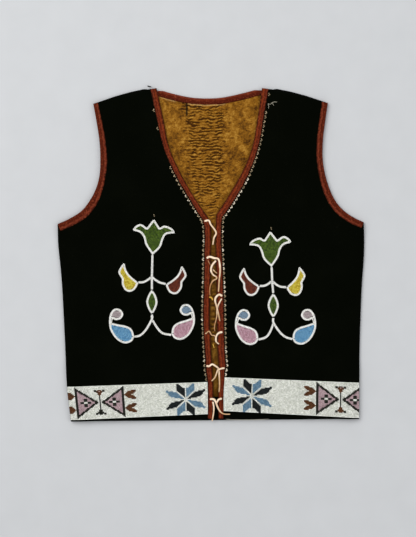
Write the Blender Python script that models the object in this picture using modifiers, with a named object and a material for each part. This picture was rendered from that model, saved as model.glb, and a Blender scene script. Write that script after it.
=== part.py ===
"""A beaded vest laid flat on its back, fronts up, built as a maker would cut and sew it.

Lengths in the tables are millimetres. X runs across the vest, Y from hem to shoulders, Z up. Names
give the wearer's side, so the right front lies at negative X.
"""

import bmesh
import bpy
import numpy as np

MM = 0.001
GAP = 0.3  # between pieces that meet edge to edge
LAY = 0.35  # between pieces that lie on one another

# Thicknesses
BACK_THICK = 1.6
LINING_THICK = 1.0
FRONT_THICK = 1.8
TAPE_THICK = 0.7
BEAD_THICK = 1.7

# Heights of the undersides where the cloth lies level
LINING_Z = BACK_THICK + LAY
TAPE_Z = LINING_Z + LINING_THICK + LAY
FRONT_Z = TAPE_Z + TAPE_THICK + GAP
BEADWORK_Z = FRONT_Z + FRONT_THICK + LAY
SEAM_Z = BACK_THICK + LAY  # the front's underside where it is sewn to the back
BACK_BINDING_THICK = TAPE_Z - LAY

# The back's own bead band lies under it and lifts the cloth near the hem
LIFT = BEAD_THICK + LAY
LIFT_FULL_Y = -186.0
LIFT_GONE_Y = -160.0

# Softness of the folds at the side and shoulder seams
DROP_REACH = 11.0  # the front comes down to the seam over this width
PUFF = 1.5
PUFF_REACH = 40.0
UNBOUND_NEAR = 9.0  # the seam stays open this near a bound edge
UNBOUND_FAR = 28.0

# Binding widths
FRONT_BINDING = 8.0
ARMHOLE_BINDING = 9.5
NECK_BINDING = 10.2
BINDING_WALL = 1.0
UNDER_LEG = 6.0
CLOTH_INSET = BINDING_WALL + GAP

# Edges of the fronts, as x and y from the hem upward. A spread is how much wider than its usual width
# a tape lies on the cloth, as y and millimetres.
RIGHT_EDGE = {
    "center": [(3.6, -259.5), (3.6, -222.0), (2.7, -190.7), (0.0, -143.3), (-1.9, -103.8), (-1.1, -56.4),
               (-0.3, -5.8), (0.0, 40.0), (-4.4, 58.9)],
    "neck": [(-4.4, 58.9), (-25.6, 89.4), (-47.9, 128.5), (-65.8, 169.5), (-75.4, 215.4), (-85.6, 262.8)],
    "side": [(-220.6, -264.3), (-226.9, -209.7), (-230.4, -133.8), (-235.4, -40.6), (-240.6, 11.5),
             (-242.2, 47.9)],
    "armhole": [(-242.2, 47.9), (-223.4, 56.4), (-204.6, 68.4), (-190.9, 85.5), (-180.6, 106.2),
                (-175.4, 128.5), (-174.6, 154.0), (-176.0, 179.8), (-180.4, 208.9), (-185.7, 238.1)],
    "band_top": (-201.2, -209.2),
    "band_bottom": (-252.4, -262.0),
    "front_spread": [(-196.0, 0.0), (-184.0, 1.5), (50.0, 1.5), (62.0, 1.5), (90.0, 0.0), (170.0, 0.3),
                     (205.0, 1.5), (262.8, 1.8)],
    "armhole_spread": [(50.0, 2.4), (60.0, 2.9), (76.0, 3.3), (86.0, 3.0), (95.0, 2.1), (105.0, 1.1),
                       (124.0, 0.0), (150.0, 1.4), (170.0, 0.4), (190.0, -0.5), (208.0, -1.0), (238.0, -1.7)],
}
LEFT_EDGE = {
    "center": [(12.3, -259.3), (12.0, -222.3), (13.6, -190.7), (10.6, -143.3), (9.6, -80.0), (9.2, -40.6),
               (7.9, 22.6), (8.4, 62.1)],
    "neck": [(8.4, 62.1), (27.3, 91.0), (49.8, 130.2), (65.6, 169.5), (74.5, 217.9), (81.0, 262.8)],
    "side": [(234.3, -260.4), (234.6, -201.8), (235.4, -133.8), (238.7, -48.5), (242.2, 2.8), (242.0, 50.9)],
    "armhole": [(242.0, 50.9), (228.0, 57.2), (211.7, 68.1), (197.2, 84.4), (186.3, 107.9), (179.4, 133.4),
                (176.8, 156.9), (177.6, 182.3), (180.2, 204.1), (185.2, 239.5)],
    "band_top": (-193.8, -202.6),
    "band_bottom": (-247.6, -258.6),
    "front_spread": [(-188.0, 0.0), (-178.0, 3.0), (-80.0, 3.0), (-20.0, 1.5), (20.0, 0.6), (50.0, 1.0),
                     (66.0, 3.0), (90.0, 3.4), (120.0, 3.2), (150.0, 1.5), (170.0, 1.0), (215.0, 1.5),
                     (262.8, 2.4)],
    "armhole_spread": [(52.0, 0.6), (68.0, 1.5), (95.0, 1.6), (105.0, 1.2), (125.0, 0.2), (240.0, 0.0)],
}
NECK_POINT_X = 92.0
NECK_POINT_Y = 264.3
NECK_POINTS = 15
SHOULDER_POINTS = 13
SHOULDER_BULGE = 2.8

# The back neck, as x and y of the outer edge of its binding
BACK_NECK = [(-90.5, 264.3), (-73.9, 258.2), (-51.2, 252.2), (-28.6, 248.0), (-5.8, 246.8), (16.7, 248.0),
             (39.5, 252.4), (62.1, 258.0), (84.8, 264.3)]

# Rows across the panels, in y, that every layer shares, so that their facets lie on one another
LOW_ROWS = [-236.0, -220.0]
RISE_ROWS = [-186.0, -179.5, -173.0, -166.5, -160.0]
BODY_ROWS = [-135.0, -105.0, -75.0, -45.0, -15.0, 15.0]
UPPER_SHARES = [0.06, 0.12, 0.19, 0.26, 0.34, 0.43, 0.52, 0.61, 0.70, 0.79, 0.88, 0.94, 0.975, 1.0]
# Columns, as distance from the side seam, and then as shares of what is left
SIDE_COLUMNS = [0.0, 3.0, 7.0, 12.0, 20.0, 30.0, 40.0]
INNER_SHARES = [0.25, 0.5, 0.75, 1.0]

# The lining
LINING_SIDE_INSET = 14.0
LINING_SHOULDER_INSET = 9.0
LINING_SHOULDER_SHARES = (0.6, 0.1)  # how much of the side inset is left from underarm to shoulder
LINING_HEM_Y = -225.0
LINING_LOW_Y = -205.0
STRIP_TOP_Y = 236.4
STRIP_BEND_Y = 120.0
STRIP_RIGHT = [(-24.8, -225.0), (-24.8, 62.0), (-37.4, 237.5)]
STRIP_LEFT = [(18.4, -225.0), (13.4, 62.0), (17.9, 237.5)]
GATHERS = 21
STRIP_NECK_Y = 42.0
GATHER_FROM_Y = 66.0
GATHER_TO_Y = 236.0
GATHER_LEAN = 0.5
GATHER_LEAN_REACH = 9.0
GATHER_HEIGHT = 1.5
ROWS_PER_GATHER = 4
GATHER_CLEAR = 3.0  # the gathers start this far inside the neck edge
GATHER_FADE = 16.0  # and stand fully up this far inside it

# The turned-up hem and the bead band of the back
HEM_LOW_Y = -258.6
HEM_MIDDLE_Y = -236.0
BACK_BAND_LOW_Y = -256.0
BACK_BAND_INSET = 0.5

# Flower spray, each shape as x and y from where its stem joins it and 1 at a corner
TULIP = [(0, 0, 1), (12.5, 12.5, 0), (17.5, 26.2, 0), (22.8, 33.0, 0), (36.5, 34.8, 1), (30.5, 42.5, 0),
         (19.3, 46.8, 0), (11.5, 43.3, 1), (2.2, 57.8, 1), (-9.0, 43.3, 1), (-18.3, 49.3, 0),
         (-27.0, 45.8, 0), (-32.1, 39.0, 1), (-20.1, 35.6, 0), (-14.1, 27.8, 0), (-10.7, 16.0, 0)]
BUD = [(0, 0, 1), (10.9, 8.7, 0), (18.3, 18.2, 0), (22.1, 31.9, 1), (28.8, 22.9, 0), (31.4, 15.0, 0),
       (25.8, 5.2, 1), (25.8, -3.2, 0), (21.3, -12.0, 0), (14.4, -15.2, 0), (6.3, -12.3, 0), (1.2, -4.7, 0)]
PAISLEY = [(0, 0, 1), (1.6, 7.6, 0), (5.7, 13.9, 0), (14.2, 17.7, 0), (23.7, 19.4, 0), (35.2, 22.1, 1),
           (34.0, 28.4, 1), (29.2, 26.4, 0), (21.5, 28.1, 0), (17.2, 35.9, 0), (22.3, 43.6, 0),
           (31.0, 44.4, 0), (37.0, 38.4, 0), (39.5, 29.9, 0), (39.8, 20.5, 0), (37.3, 9.5, 0),
           (29.2, -2.7, 0), (19.8, -9.2, 0), (11.2, -10.3, 0), (3.0, -6.3, 0)]
LEAF = [(0, 0, 1), (5.5, -8.0, 0), (8.9, -19.8, 0), (5.5, -31.5, 0), (0, -39.6, 1), (-5.5, -31.5, 0),
        (-8.9, -19.8, 0), (-5.5, -8.0, 0)]

# Where each shape of a spray goes: name, shape, x, y, turn in degrees, mirror (-1 opens to negative x)
RIGHT_SPRAY = [
    ("tulip", TULIP, -92.0, -1.4, 0.0, 1), ("leaf", LEAF, -92.9, -55.5, 0.0, 1),
    ("outer_bud", BUD, -114.5, -44.2, 0.0, -1), ("inner_bud", BUD, -70.9, -46.9, -5.0, 1),
    ("outer_paisley", PAISLEY, -120.9, -130.4, 0.0, -1), ("inner_paisley", PAISLEY, -61.9, -126.4, 7.0, 1),
]
LEFT_SPRAY = [
    ("tulip", TULIP, 96.2, -20.4, 0.0, -1), ("leaf", LEAF, 98.8, -61.0, 0.0, 1),
    ("outer_bud", BUD, 119.4, -51.7, 4.0, 1), ("inner_bud", BUD, 77.4, -49.8, 4.0, -1),
    ("outer_paisley", PAISLEY, 129.2, -133.8, 6.0, 1), ("inner_paisley", PAISLEY, 75.2, -134.6, -7.0, -1),
]
# Stems, as lists of x and y; each line starts on the first one of its group
RIGHT_STEMS = {
    "upper_stem": [[(-92.1, -2.2), (-92.9, -36.0), (-92.9, -54.7)],
                   [(-92.9, -34.6), (-97.5, -39.0), (-105.5, -43.6), (-113.4, -44.4)],
                   [(-92.9, -34.6), (-88.6, -39.5), (-80.5, -44.4), (-72.0, -46.6)]],
    "lower_stem": [[(-92.9, -95.9), (-92.8, -102.0), (-102.2, -119.0), (-111.5, -128.0), (-119.9, -130.0)],
                   [(-92.9, -95.9), (-92.8, -102.0), (-84.5, -116.0), (-76.0, -124.5), (-63.0, -127.2)]],
}
LEFT_STEMS = {
    "upper_stem": [[(96.3, -21.2), (97.2, -43.0), (98.7, -60.2)],
                   [(97.2, -41.6), (102.5, -47.0), (110.0, -51.0), (118.3, -51.9)],
                   [(97.2, -41.6), (92.0, -46.0), (85.5, -49.4), (78.5, -50.0)]],
    "lower_stem": [[(98.9, -101.4), (99.2, -108.0), (108.8, -122.5), (118.0, -130.5), (128.2, -133.8)],
                   [(98.9, -101.4), (99.2, -108.0), (93.5, -123.0), (87.0, -131.0), (76.2, -134.6)]],
}
STEM_WIDTH = 3.2
SHAPE_STEPS = 3

# Ties: free thongs that lie over the front bindings, as x, y and height above the bindings' tops
THONG_RADIUS = 1.0
TIES = {
    "tie_1": [(-10.1, 52.3, 0), (-3.2, 53.4, 0), (0.0, 47.1, 0), (6.0, 39.2, 0), (8.6, 33.0, 0),
              (5.2, 26.1, 0), (3.3, 15.0, 0)],
    "tie_2_long": [(-6.5, -6.0, 0), (-1.3, -4.0, 0), (5.2, -6.0, 0), (12.4, -8.0, 0), (14.7, -20.4, 0),
                   (14.7, -28.6, 0), (13.4, -41.7, 0), (12.2, -59.4, 0)],
    "tie_2_loop": [(8.2, -10.0, 0), (2.1, -17.5, 0), (0.6, -26.1, 0), (4.0, -32.5, 0), (8.9, -35.6, 0),
                   (8.7, -38.9, 0), (3.4, -42.0, 0), (-0.6, -49.5, 0), (-1.6, -58.5, 0), (-0.9, -65.5, 0)],
    "tie_3_long": [(17.4, -70.0, 0), (13.8, -76.0, 0), (11.0, -82.5, 0), (9.8, -89.0, 0), (9.9, -96.0, 0),
                   (8.4, -103.5, 0), (6.8, -109.5, 0), (5.8, -116.0, 0), (6.6, -121.5, 0)],
    "tie_3_short": [(18.3, -65.9, 0), (13.1, -63.6, 0), (7.9, -68.4, 0), (7.1, -74.2, 0.8),
                    (9.0, -81.0, 2.6), (11.0, -89.0, 2.9), (12.8, -97.0, 1.6), (14.5, -105.6, 0)],
    "tie_4": [(-7.4, -124.8, 0), (-2.5, -121.5, 0), (1.4, -127.5, 0), (6.0, -128.5, 0), (8.5, -132.6, 0),
              (9.2, -138.6, 0), (13.1, -141.7, 0)],
    "tie_5_long": [(-6.8, -175.9, 0), (-2.5, -176.7, 0), (2.1, -173.6, 0), (7.9, -176.6, 0),
                   (12.3, -180.6, 0), (13.3, -188.0, 0), (13.9, -206.5, 0), (13.1, -217.6, 0)],
    "tie_5_short": [(22.0, -179.6, 0.4), (17.0, -180.2, 2.5), (11.6, -182.2, 2.9), (9.5, -187.0, 1.4),
                    (6.5, -194.5, 0.2), (1.4, -200.0, 0)],
    "tie_6_right": [(-1.3, -228.5, 0), (4.7, -228.8, 0), (7.6, -232.6, 0), (9.6, -238.0, 0),
                    (12.4, -244.2, 0), (16.0, -249.2, 0), (21.5, -252.0, 0), (30.8, -252.4, 0)],
    "tie_6_left": [(3.3, -232.6, 0), (4.4, -237.5, 0), (4.9, -243.5, 0), (4.2, -252.0, 0), (2.2, -263.6, 0)],
}

# Colour, roughness and metallic value of each material
LOOKS = {
    "black wool": ((0.012, 0.012, 0.010), 0.95, 0.0),
    "rust tape": ((0.260, 0.028, 0.010), 0.80, 0.0),
    "mustard cotton": ((0.352, 0.171, 0.026), 0.75, 0.0),
    "white beads": ((0.760, 0.740, 0.660), 0.35, 0.0),
    "green beads": ((0.042, 0.102, 0.012), 0.35, 0.0),
    "yellow beads": ((0.680, 0.500, 0.045), 0.35, 0.0),
    "maroon beads": ((0.114, 0.017, 0.013), 0.35, 0.0),
    "blue beads": ((0.091, 0.262, 0.546), 0.35, 0.0),
    "pink beads": ((0.485, 0.223, 0.305), 0.35, 0.0),
    "thong": ((0.753, 0.577, 0.352), 0.70, 0.0),
}
SHAPE_BEADS = {
    "tulip": "green beads", "leaf": "green beads", "outer_bud": "yellow beads",
    "inner_bud": "maroon beads", "outer_paisley": "blue beads", "inner_paisley": "pink beads",
}


def material(name):
    """The named material, made once."""
    if name in bpy.data.materials:
        return bpy.data.materials[name]
    color, roughness, metallic = LOOKS[name]
    made = bpy.data.materials.new(name)
    made.use_nodes = True
    shader = made.node_tree.nodes["Principled BSDF"]
    shader.inputs["Base Color"].default_value = (*color, 1.0)
    shader.inputs["Roughness"].default_value = roughness
    shader.inputs["Metallic"].default_value = metallic
    return made


# Curves in the plane
def smooth(points, steps=10):
    """A smooth curve through the points, with this many steps from each one to the next."""
    p = np.asarray(points, float)
    p = np.vstack([2 * p[0] - p[1], p, 2 * p[-1] - p[-2]])
    t = np.linspace(0, 1, steps, endpoint=False)[:, None]
    spans = []
    for a, b, c, d in zip(p, p[1:], p[2:], p[3:]):
        spans.append(0.5 * (2 * b + (c - a) * t + (2 * a - 5 * b + 4 * c - d) * t**2
                            + (3 * b - a - 3 * c + d) * t**3))
    spans.append(p[-2][None])
    return np.vstack(spans)


def along(curve, shares):
    """The points of a curve at the given shares of its length."""
    run = np.concatenate([[0], np.cumsum(np.linalg.norm(np.diff(curve, axis=0), axis=1))])
    places = np.asarray(shares) * run[-1]
    return np.stack([np.interp(places, run, curve[:, k]) for k in range(curve.shape[1])], axis=1)


def length(curve):
    """The length of a curve."""
    return float(np.linalg.norm(np.diff(curve, axis=0), axis=1).sum())


def left_of(curve, distance):
    """The curve moved to its left by the distance, which may be negative."""
    run = np.gradient(curve, axis=0)
    run /= np.linalg.norm(run, axis=1)[:, None]
    return curve + distance * np.stack([-run[:, 1], run[:, 0]], axis=1)


def x_at(curve, y):
    """Where a curve that rises from hem to shoulder crosses a height."""
    return np.interp(y, curve[:, 1], curve[:, 0])


def distance_to(points, curve):
    """The distance of each point to a curve."""
    dense = along(curve, np.linspace(0, 1, int(length(curve)) + 2))
    return np.linalg.norm(points[..., None, :] - dense, axis=-1).min(axis=-1)


def rise(low, high, value):
    """0 below low, 1 above high, and smooth between."""
    t = np.clip((value - low) / (high - low), 0, 1)
    return t * t * (3 - 2 * t)


def lift(y):
    """How far the bead band under the back raises the layers above it."""
    return LIFT * (1 - rise(LIFT_FULL_Y, LIFT_GONE_Y, y))


def shoulder_line(x_from, x_to, shares, side):
    """Points of a shoulder seam from one x to another; side is -1 on the right."""
    tip = np.array((RIGHT_EDGE if side < 0 else LEFT_EDGE)["armhole"][-1])
    neck = np.array((side * NECK_POINT_X, NECK_POINT_Y))
    x = x_from + (x_to - x_from) * np.asarray(shares, float)
    share = (x - neck[0]) / (tip[0] - neck[0])
    y = neck[1] + share * (tip[1] - neck[1]) + SHOULDER_BULGE * np.sin(np.pi * np.clip(share, 0, 1))
    return np.stack([x, y], axis=1)


class FrontEdges:
    """The smooth edges of one front, and the rows and columns of its cloth."""

    def __init__(self, table, side):
        self.side = side
        self.table = table
        self.center = smooth(table["center"])
        self.neck = smooth(table["neck"])
        self.front = np.vstack([self.center, self.neck[1:]])
        self.side_seam = smooth(table["side"])
        self.armhole = smooth(table["armhole"])
        tip = table["armhole"][-1][0]
        shares = np.linspace(0, 1, SHOULDER_POINTS)
        self.shoulder = shoulder_line(table["neck"][-1][0], tip, shares, side)

    def row_heights(self, column, hem, corner):
        """The y of each row below the underarm: column is 0 on the front edge and 1 on the side seam."""
        bottom, top = self.table["band_bottom"][column], self.table["band_top"][column]
        return np.array([hem, bottom, *LOW_ROWS, top, *RISE_ROWS, *BODY_ROWS, corner])

    def front_points(self):
        """Where the rows meet the front edge."""
        y = self.row_heights(0, self.center[0, 1], self.center[-1, 1])
        low = np.stack([x_at(self.center, y), y], axis=1)
        return np.vstack([low, along(self.neck, UPPER_SHARES)])

    def armhole_points(self):
        """Where the rows meet the armhole, from the underarm to the shoulder."""
        return along(self.armhole, [0.0, *UPPER_SHARES])

    def inner_and_outer(self, inner_inset, armhole_inset):
        """The ends of each row: on the front edge and on the side seam or armhole."""
        inner = left_of(self.front_points(), -self.side * inner_inset)
        hole = left_of(self.armhole_points(), self.side * armhole_inset)
        seam_x = x_at(self.side_seam, hole[0, 1])
        corner = hole[0] + (hole[0] - hole[1]) * (seam_x - hole[0, 0]) / (hole[0, 0] - hole[1, 0])
        y = self.row_heights(1, self.side_seam[0, 1], corner[1])
        low = np.stack([x_at(self.side_seam, y), y], axis=1)
        return inner, np.vstack([low, hole[1:]])

    def height(self, points):
        """The underside of the front cloth at each point."""
        seam = np.minimum(distance_to(points, self.side_seam), distance_to(points, self.shoulder))
        bound = np.minimum(distance_to(points, self.armhole), distance_to(points, self.front))
        drop = (FRONT_Z - SEAM_Z) * (1 - rise(0, DROP_REACH, seam)) * rise(UNBOUND_NEAR, UNBOUND_FAR, bound)
        puff = PUFF * np.sin(np.pi * np.minimum(seam, PUFF_REACH) / PUFF_REACH) ** 2
        return FRONT_Z - drop + puff * rise(UNBOUND_NEAR, UNBOUND_FAR, bound) + lift(points[..., 1])


RIGHT = FrontEdges(RIGHT_EDGE, -1)
LEFT = FrontEdges(LEFT_EDGE, 1)


# Solids
def start_over(name):
    """Empties the scene and gives the part its collections."""
    for old in list(bpy.data.objects):
        bpy.data.objects.remove(old)
    part = bpy.data.collections.new(name)
    cutters = bpy.data.collections.new("cutters")
    bpy.context.scene.collection.children.link(part)
    bpy.context.scene.collection.children.link(cutters)
    return part, cutters


def place(name, data, look, collection):
    """Puts a mesh or curve in the scene under its name and material."""
    made = bpy.data.objects.new(name, data)
    data.materials.append(material(look))
    collection.objects.link(made)
    return made


def cloth(name, points, thickness, look, collection):
    """A sheet whose underside runs through a grid of points, thickened upward."""
    points = np.asarray(points, float)
    rows, columns = points.shape[0] - 1, points.shape[1] - 1
    bm = bmesh.new()
    bmesh.ops.create_grid(bm, x_segments=columns, y_segments=rows, size=1.0)
    for vertex in bm.verts:
        i = round((vertex.co.x + 1) / 2 * columns)
        j = round((vertex.co.y + 1) / 2 * rows)
        vertex.co = points[j, i] * MM
    bmesh.ops.recalc_face_normals(bm, faces=bm.faces)
    if sum(face.normal.z for face in bm.faces) < 0:
        bmesh.ops.reverse_faces(bm, faces=bm.faces)
    mesh = bpy.data.meshes.new(name)
    bm.to_mesh(mesh)
    bm.free()
    mesh.shade_smooth()
    made = place(name, mesh, look, collection)
    wall = made.modifiers.new("thickness", "SOLIDIFY")
    wall.thickness = thickness * MM
    wall.offset = 1.0
    wall.use_even_offset = True
    return made


def sweep(name, stations, section, look, collection):
    """A strip with one section, as (inward, up) pairs, carried along stations of place, inward, base and
    how much further its upper leg reaches there."""
    bm = bmesh.new()
    rings = []
    for place_xy, inward, base, spread in stations:
        ring = []
        for run, up in section:
            x, y = place_xy + inward * (run + spread * (run > UNDER_LEG))
            ring.append(bm.verts.new((x * MM, y * MM, (base + up) * MM)))
        rings.append(ring)
    count = len(section)
    for ring, after in zip(rings, rings[1:]):
        for k in range(count):
            bm.faces.new((ring[k], ring[(k + 1) % count], after[(k + 1) % count], after[k]))
    bm.faces.new(rings[0])
    bm.faces.new(rings[-1])
    bmesh.ops.recalc_face_normals(bm, faces=bm.faces)
    mesh = bpy.data.meshes.new(name)
    bm.to_mesh(mesh)
    bm.free()
    return place(name, mesh, look, collection)


def stations(spots, inward_sign, base, spread=((0.0, 0.0),)):
    """The stations of a sweep: place, inward direction, height of the base and spread of the upper leg."""
    inward = left_of(spots, inward_sign) - spots
    wider = np.interp(spots[:, 1], *np.array(spread).T)
    return [(spot, turn, base + lift(spot[1]), more) for spot, turn, more in zip(spots, inward, wider)]


def binding_section(width):
    """A tape folded round an edge: under leg, wall and upper leg, with the cloth's edge between them."""
    top = BEADWORK_Z - LAY + GAP - TAPE_Z
    return [(0.4, 0.0), (UNDER_LEG, 0.0), (UNDER_LEG, TAPE_THICK), (BINDING_WALL, TAPE_THICK),
            (BINDING_WALL, top), (width, top), (width, top + TAPE_THICK), (0.5, top + TAPE_THICK),
            (0.0, top + 0.1), (0.0, 0.5)]


def flat_binding_section(width):
    """A tape round the back's edge, as one flat strip with a rounded outer edge."""
    return [(0.6, 0.0), (width, 0.0), (width, BACK_BINDING_THICK), (0.6, BACK_BINDING_THICK),
            (0.0, BACK_BINDING_THICK - 0.7), (0.0, 0.7)]


def closed_outline(rows, x, y, turn, mirror):
    """A closed shape of smooth runs between its corners, turned, mirrored and set in place."""
    runs, run = [], [rows[0][:2]]
    for px, py, corner in [*rows[1:], rows[0]]:
        run.append((px, py))
        if corner:
            runs.append(run)
            run = [(px, py)]
    points = np.vstack([smooth(one, SHAPE_STEPS)[:-1] for one in runs])
    points = points * (mirror, 1)
    angle = np.radians(turn)
    spin = np.array([(np.cos(angle), np.sin(angle)), (-np.sin(angle), np.cos(angle))])
    return points @ spin + (x, y)


def flat_solid(name, outline, base, thickness, look, collection):
    """A flat piece cut to an outline, as a mesh made from a filled curve."""
    curve = bpy.data.curves.new(name, "CURVE")
    curve.dimensions = "2D"
    curve.fill_mode = "BOTH"
    curve.extrude = thickness / 2 * MM
    spline = curve.splines.new("POLY")
    spline.points.add(len(outline) - 1)
    spline.use_cyclic_u = True
    for point, (x, y) in zip(spline.points, outline):
        point.co = (x * MM, y * MM, 0, 1)
    shape = bpy.data.objects.new(name + "_curve", curve)
    collection.objects.link(shape)
    view = bpy.context.evaluated_depsgraph_get()
    mesh = bpy.data.meshes.new_from_object(shape.evaluated_get(view))
    bpy.data.objects.remove(shape)
    bm = bmesh.new()
    bm.from_mesh(mesh)
    bmesh.ops.remove_doubles(bm, verts=bm.verts, dist=0.00001)
    bmesh.ops.dissolve_limit(bm, angle_limit=0.001, verts=bm.verts, edges=bm.edges)
    bmesh.ops.recalc_face_normals(bm, faces=bm.faces)
    bmesh.ops.translate(bm, verts=bm.verts, vec=(0, 0, (base + thickness / 2) * MM))
    bm.to_mesh(mesh)
    bm.free()
    mesh.name = name
    mesh.materials.clear()
    return place(name, mesh, look, collection)


def ribbon(points, width):
    """The outline of a line of even width."""
    middle = smooth(points, SHAPE_STEPS)
    return np.vstack([left_of(middle, width / 2), left_of(middle, -width / 2)[::-1]])


# The pieces
def row_columns(inner, outer):
    """The points of one row from the side seam inward."""
    width = np.linalg.norm(inner - outer)
    fixed = np.array(SIDE_COLUMNS) / width
    if fixed[-1] > 0.5:
        fixed = fixed * 0.5 / fixed[-1]
    shares = np.concatenate([fixed, fixed[-1] + (1 - fixed[-1]) * np.array(INNER_SHARES)])
    return outer + (inner - outer) * shares[:, None]


def front_grid(edges, inner_inset, armhole_inset, rows=None):
    """The grid of a front, or of what lies on some of its rows, in the plane."""
    inner, outer = edges.inner_and_outer(inner_inset, armhole_inset)
    grid = np.array([row_columns(a, b) for a, b in zip(inner, outer)])
    if rows is not None:
        return grid[rows]
    upper = len(inner) - len(UPPER_SHARES)
    share = np.linspace(0, 1, grid.shape[1])
    for step, t in enumerate(UPPER_SHARES):
        grid[upper + step, :, 1] += SHOULDER_BULGE * np.sin(np.pi * share) * t**3
    return grid


def with_height(grid, height):
    """Adds a height to each point of a plane grid."""
    return np.concatenate([grid, np.asarray(height)[..., None]], axis=-1)


def front(edges, name, collection):
    """The black wool of one front."""
    grid = front_grid(edges, CLOTH_INSET, CLOTH_INSET)
    cloth(name, with_height(grid, edges.height(grid)), FRONT_THICK, "black wool", collection)


def front_band(edges, name, collection):
    """The bead band on one front, from the binding to the side seam."""
    grid = front_grid(edges, FRONT_BINDING + GAP, CLOTH_INSET, rows=slice(1, 5))
    height = edges.height(grid) + FRONT_THICK + LAY
    cloth(name, with_height(grid, height), BEAD_THICK, "white beads", collection)


def rise_to(top, inner_top, outer_top, grid, upper):
    """Bends the upper rows of a grid so that the last one follows the top curve."""
    chord = inner_top + (outer_top - inner_top) * np.linspace(0, 1, len(top))[:, None]
    for step, t in enumerate(UPPER_SHARES):
        grid[upper + step] += (top - chord) * t**2
    return grid


def back_sides():
    """The two ends of each row of the back."""
    ends = []
    for edges in (RIGHT, LEFT):
        _, outer = edges.inner_and_outer(CLOTH_INSET, ARMHOLE_BINDING + GAP)
        ends.append(outer)
    return ends


def neck_curve(inset):
    """The back neck's edge moved into the cloth, with its ends on the shoulder seams."""
    curve = left_of(along(smooth(BACK_NECK), np.linspace(0, 1, NECK_POINTS)), -inset)
    if inset:
        curve[0] = shoulder_line(-NECK_POINT_X - inset, 0, [0], -1)[0]
        curve[-1] = shoulder_line(NECK_POINT_X + inset, 0, [0], 1)[0]
    return curve


def back_panel(collection):
    """The back: one piece of black wool under everything."""
    right, left = back_sides()
    right_top = shoulder_line(right[-1, 0], -NECK_POINT_X - NECK_BINDING - GAP, np.linspace(0, 1, 4), -1)
    left_top = shoulder_line(NECK_POINT_X + NECK_BINDING + GAP, left[-1, 0], np.linspace(0, 1, 4), 1)
    neck = neck_curve(NECK_BINDING + GAP)
    top = np.vstack([right_top, neck[1:-1], left_top])
    share = np.linspace(0, 1, len(top))[:, None]
    grid = np.array([a + (b - a) * share for a, b in zip(right, left)])
    grid = rise_to(top, right[-1], left[-1], grid, len(right) - len(UPPER_SHARES))
    cloth("back", with_height(grid, lift(grid[..., 1])), BACK_THICK, "black wool", collection)


def lining_half(edges, name, strip_edge, collection):
    """One side of the lining, from the gathered strip to the side."""
    inset = LINING_SIDE_INSET
    _, outer = edges.inner_and_outer(CLOTH_INSET, ARMHOLE_BINDING + GAP)
    outer = outer[4:].copy()
    low = len(outer) - len(UPPER_SHARES)
    outer[:low, 0] -= edges.side * inset
    outer[0, 1] = LINING_HEM_Y
    outer[low:, 0] -= edges.side * inset * np.linspace(*LINING_SHOULDER_SHARES, len(UPPER_SHARES))
    seam = np.array(strip_edge, float) + (edges.side * GAP, 0)
    high = np.linspace(outer[low - 1, 1], STRIP_TOP_Y, len(UPPER_SHARES) + 1)[1:]
    seam_y = np.concatenate([outer[:low, 1], high])
    inner = np.stack([x_at(seam, seam_y), seam_y], axis=1)
    neck = neck_curve(NECK_BINDING + GAP)
    neck = neck if edges.side > 0 else neck[::-1]
    start = np.array((inner[-1, 0], np.interp(inner[-1, 0], *neck[:: edges.side].T)))
    neck_top = neck[edges.side * neck[:, 0] > edges.side * inner[-1, 0] + 1.0][:-1]
    shoulder = shoulder_line(neck[-1, 0], outer[-1, 0], np.linspace(0, 1, 4), edges.side)
    shoulder[:, 1] -= LINING_SHOULDER_INSET
    outer[-1] = shoulder[-1]
    inner[-1] = start
    top = np.vstack([start, neck_top, shoulder])
    share = np.linspace(0, 1, len(top))[:, None]
    grid = np.array([a + (b - a) * share for a, b in zip(inner, outer)])
    grid = rise_to(top, inner[-1], outer[-1], grid, low)
    height = LINING_Z + lift(grid[..., 1])
    cloth(name, with_height(grid, height), LINING_THICK, "mustard cotton", collection)


def gather_height(points):
    """How far the gathers of the lining's strip stand up, inside the neck opening only."""
    inside = np.minimum(points[..., 0] - x_at(RIGHT.front, points[..., 1]),
                        x_at(LEFT.front, points[..., 1]) - points[..., 0])
    turn = 2 * np.pi * GATHERS * (points[..., 1] - GATHER_FROM_Y) / (GATHER_TO_Y - GATHER_FROM_Y)
    wave = 0.5 - 0.5 * np.cos(turn + GATHER_LEAN * np.sin(points[..., 0] / GATHER_LEAN_REACH))
    return GATHER_HEIGHT * wave * rise(GATHER_CLEAR, GATHER_FADE, inside)


def lining_strip(collection):
    """The middle strip of the lining, with its cross gathers raised in it."""
    fine = np.linspace(GATHER_FROM_Y, STRIP_TOP_Y, GATHERS * ROWS_PER_GATHER + 1)
    rows = np.concatenate([[LINING_HEM_Y, LINING_LOW_Y], RISE_ROWS, BODY_ROWS, [STRIP_NECK_Y], fine])
    right = np.stack([x_at(np.array(STRIP_RIGHT), rows), rows], axis=1)
    left = np.stack([x_at(np.array(STRIP_LEFT), rows), rows], axis=1)
    neck = neck_curve(NECK_BINDING + GAP)
    between = neck[(neck[:, 0] > right[-1, 0] + 1.0) & (neck[:, 0] < left[-1, 0] - 1.0), 0]
    top_x = np.array([right[-1, 0], *between, left[-1, 0]])
    share = ((top_x - top_x[0]) / (top_x[-1] - top_x[0]))[:, None]
    grid = np.array([a + (b - a) * share for a, b in zip(right, left)])
    top_y = np.interp(top_x, neck[:, 0], neck[:, 1])
    grid[..., 1] += (top_y - grid[-1, :, 1]) * rise(STRIP_BEND_Y, STRIP_TOP_Y, rows)[:, None]
    height = LINING_Z + lift(grid[..., 1]) + gather_height(grid)
    cloth("lining_gathered_strip", with_height(grid, height), LINING_THICK, "mustard cotton", collection)


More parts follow.
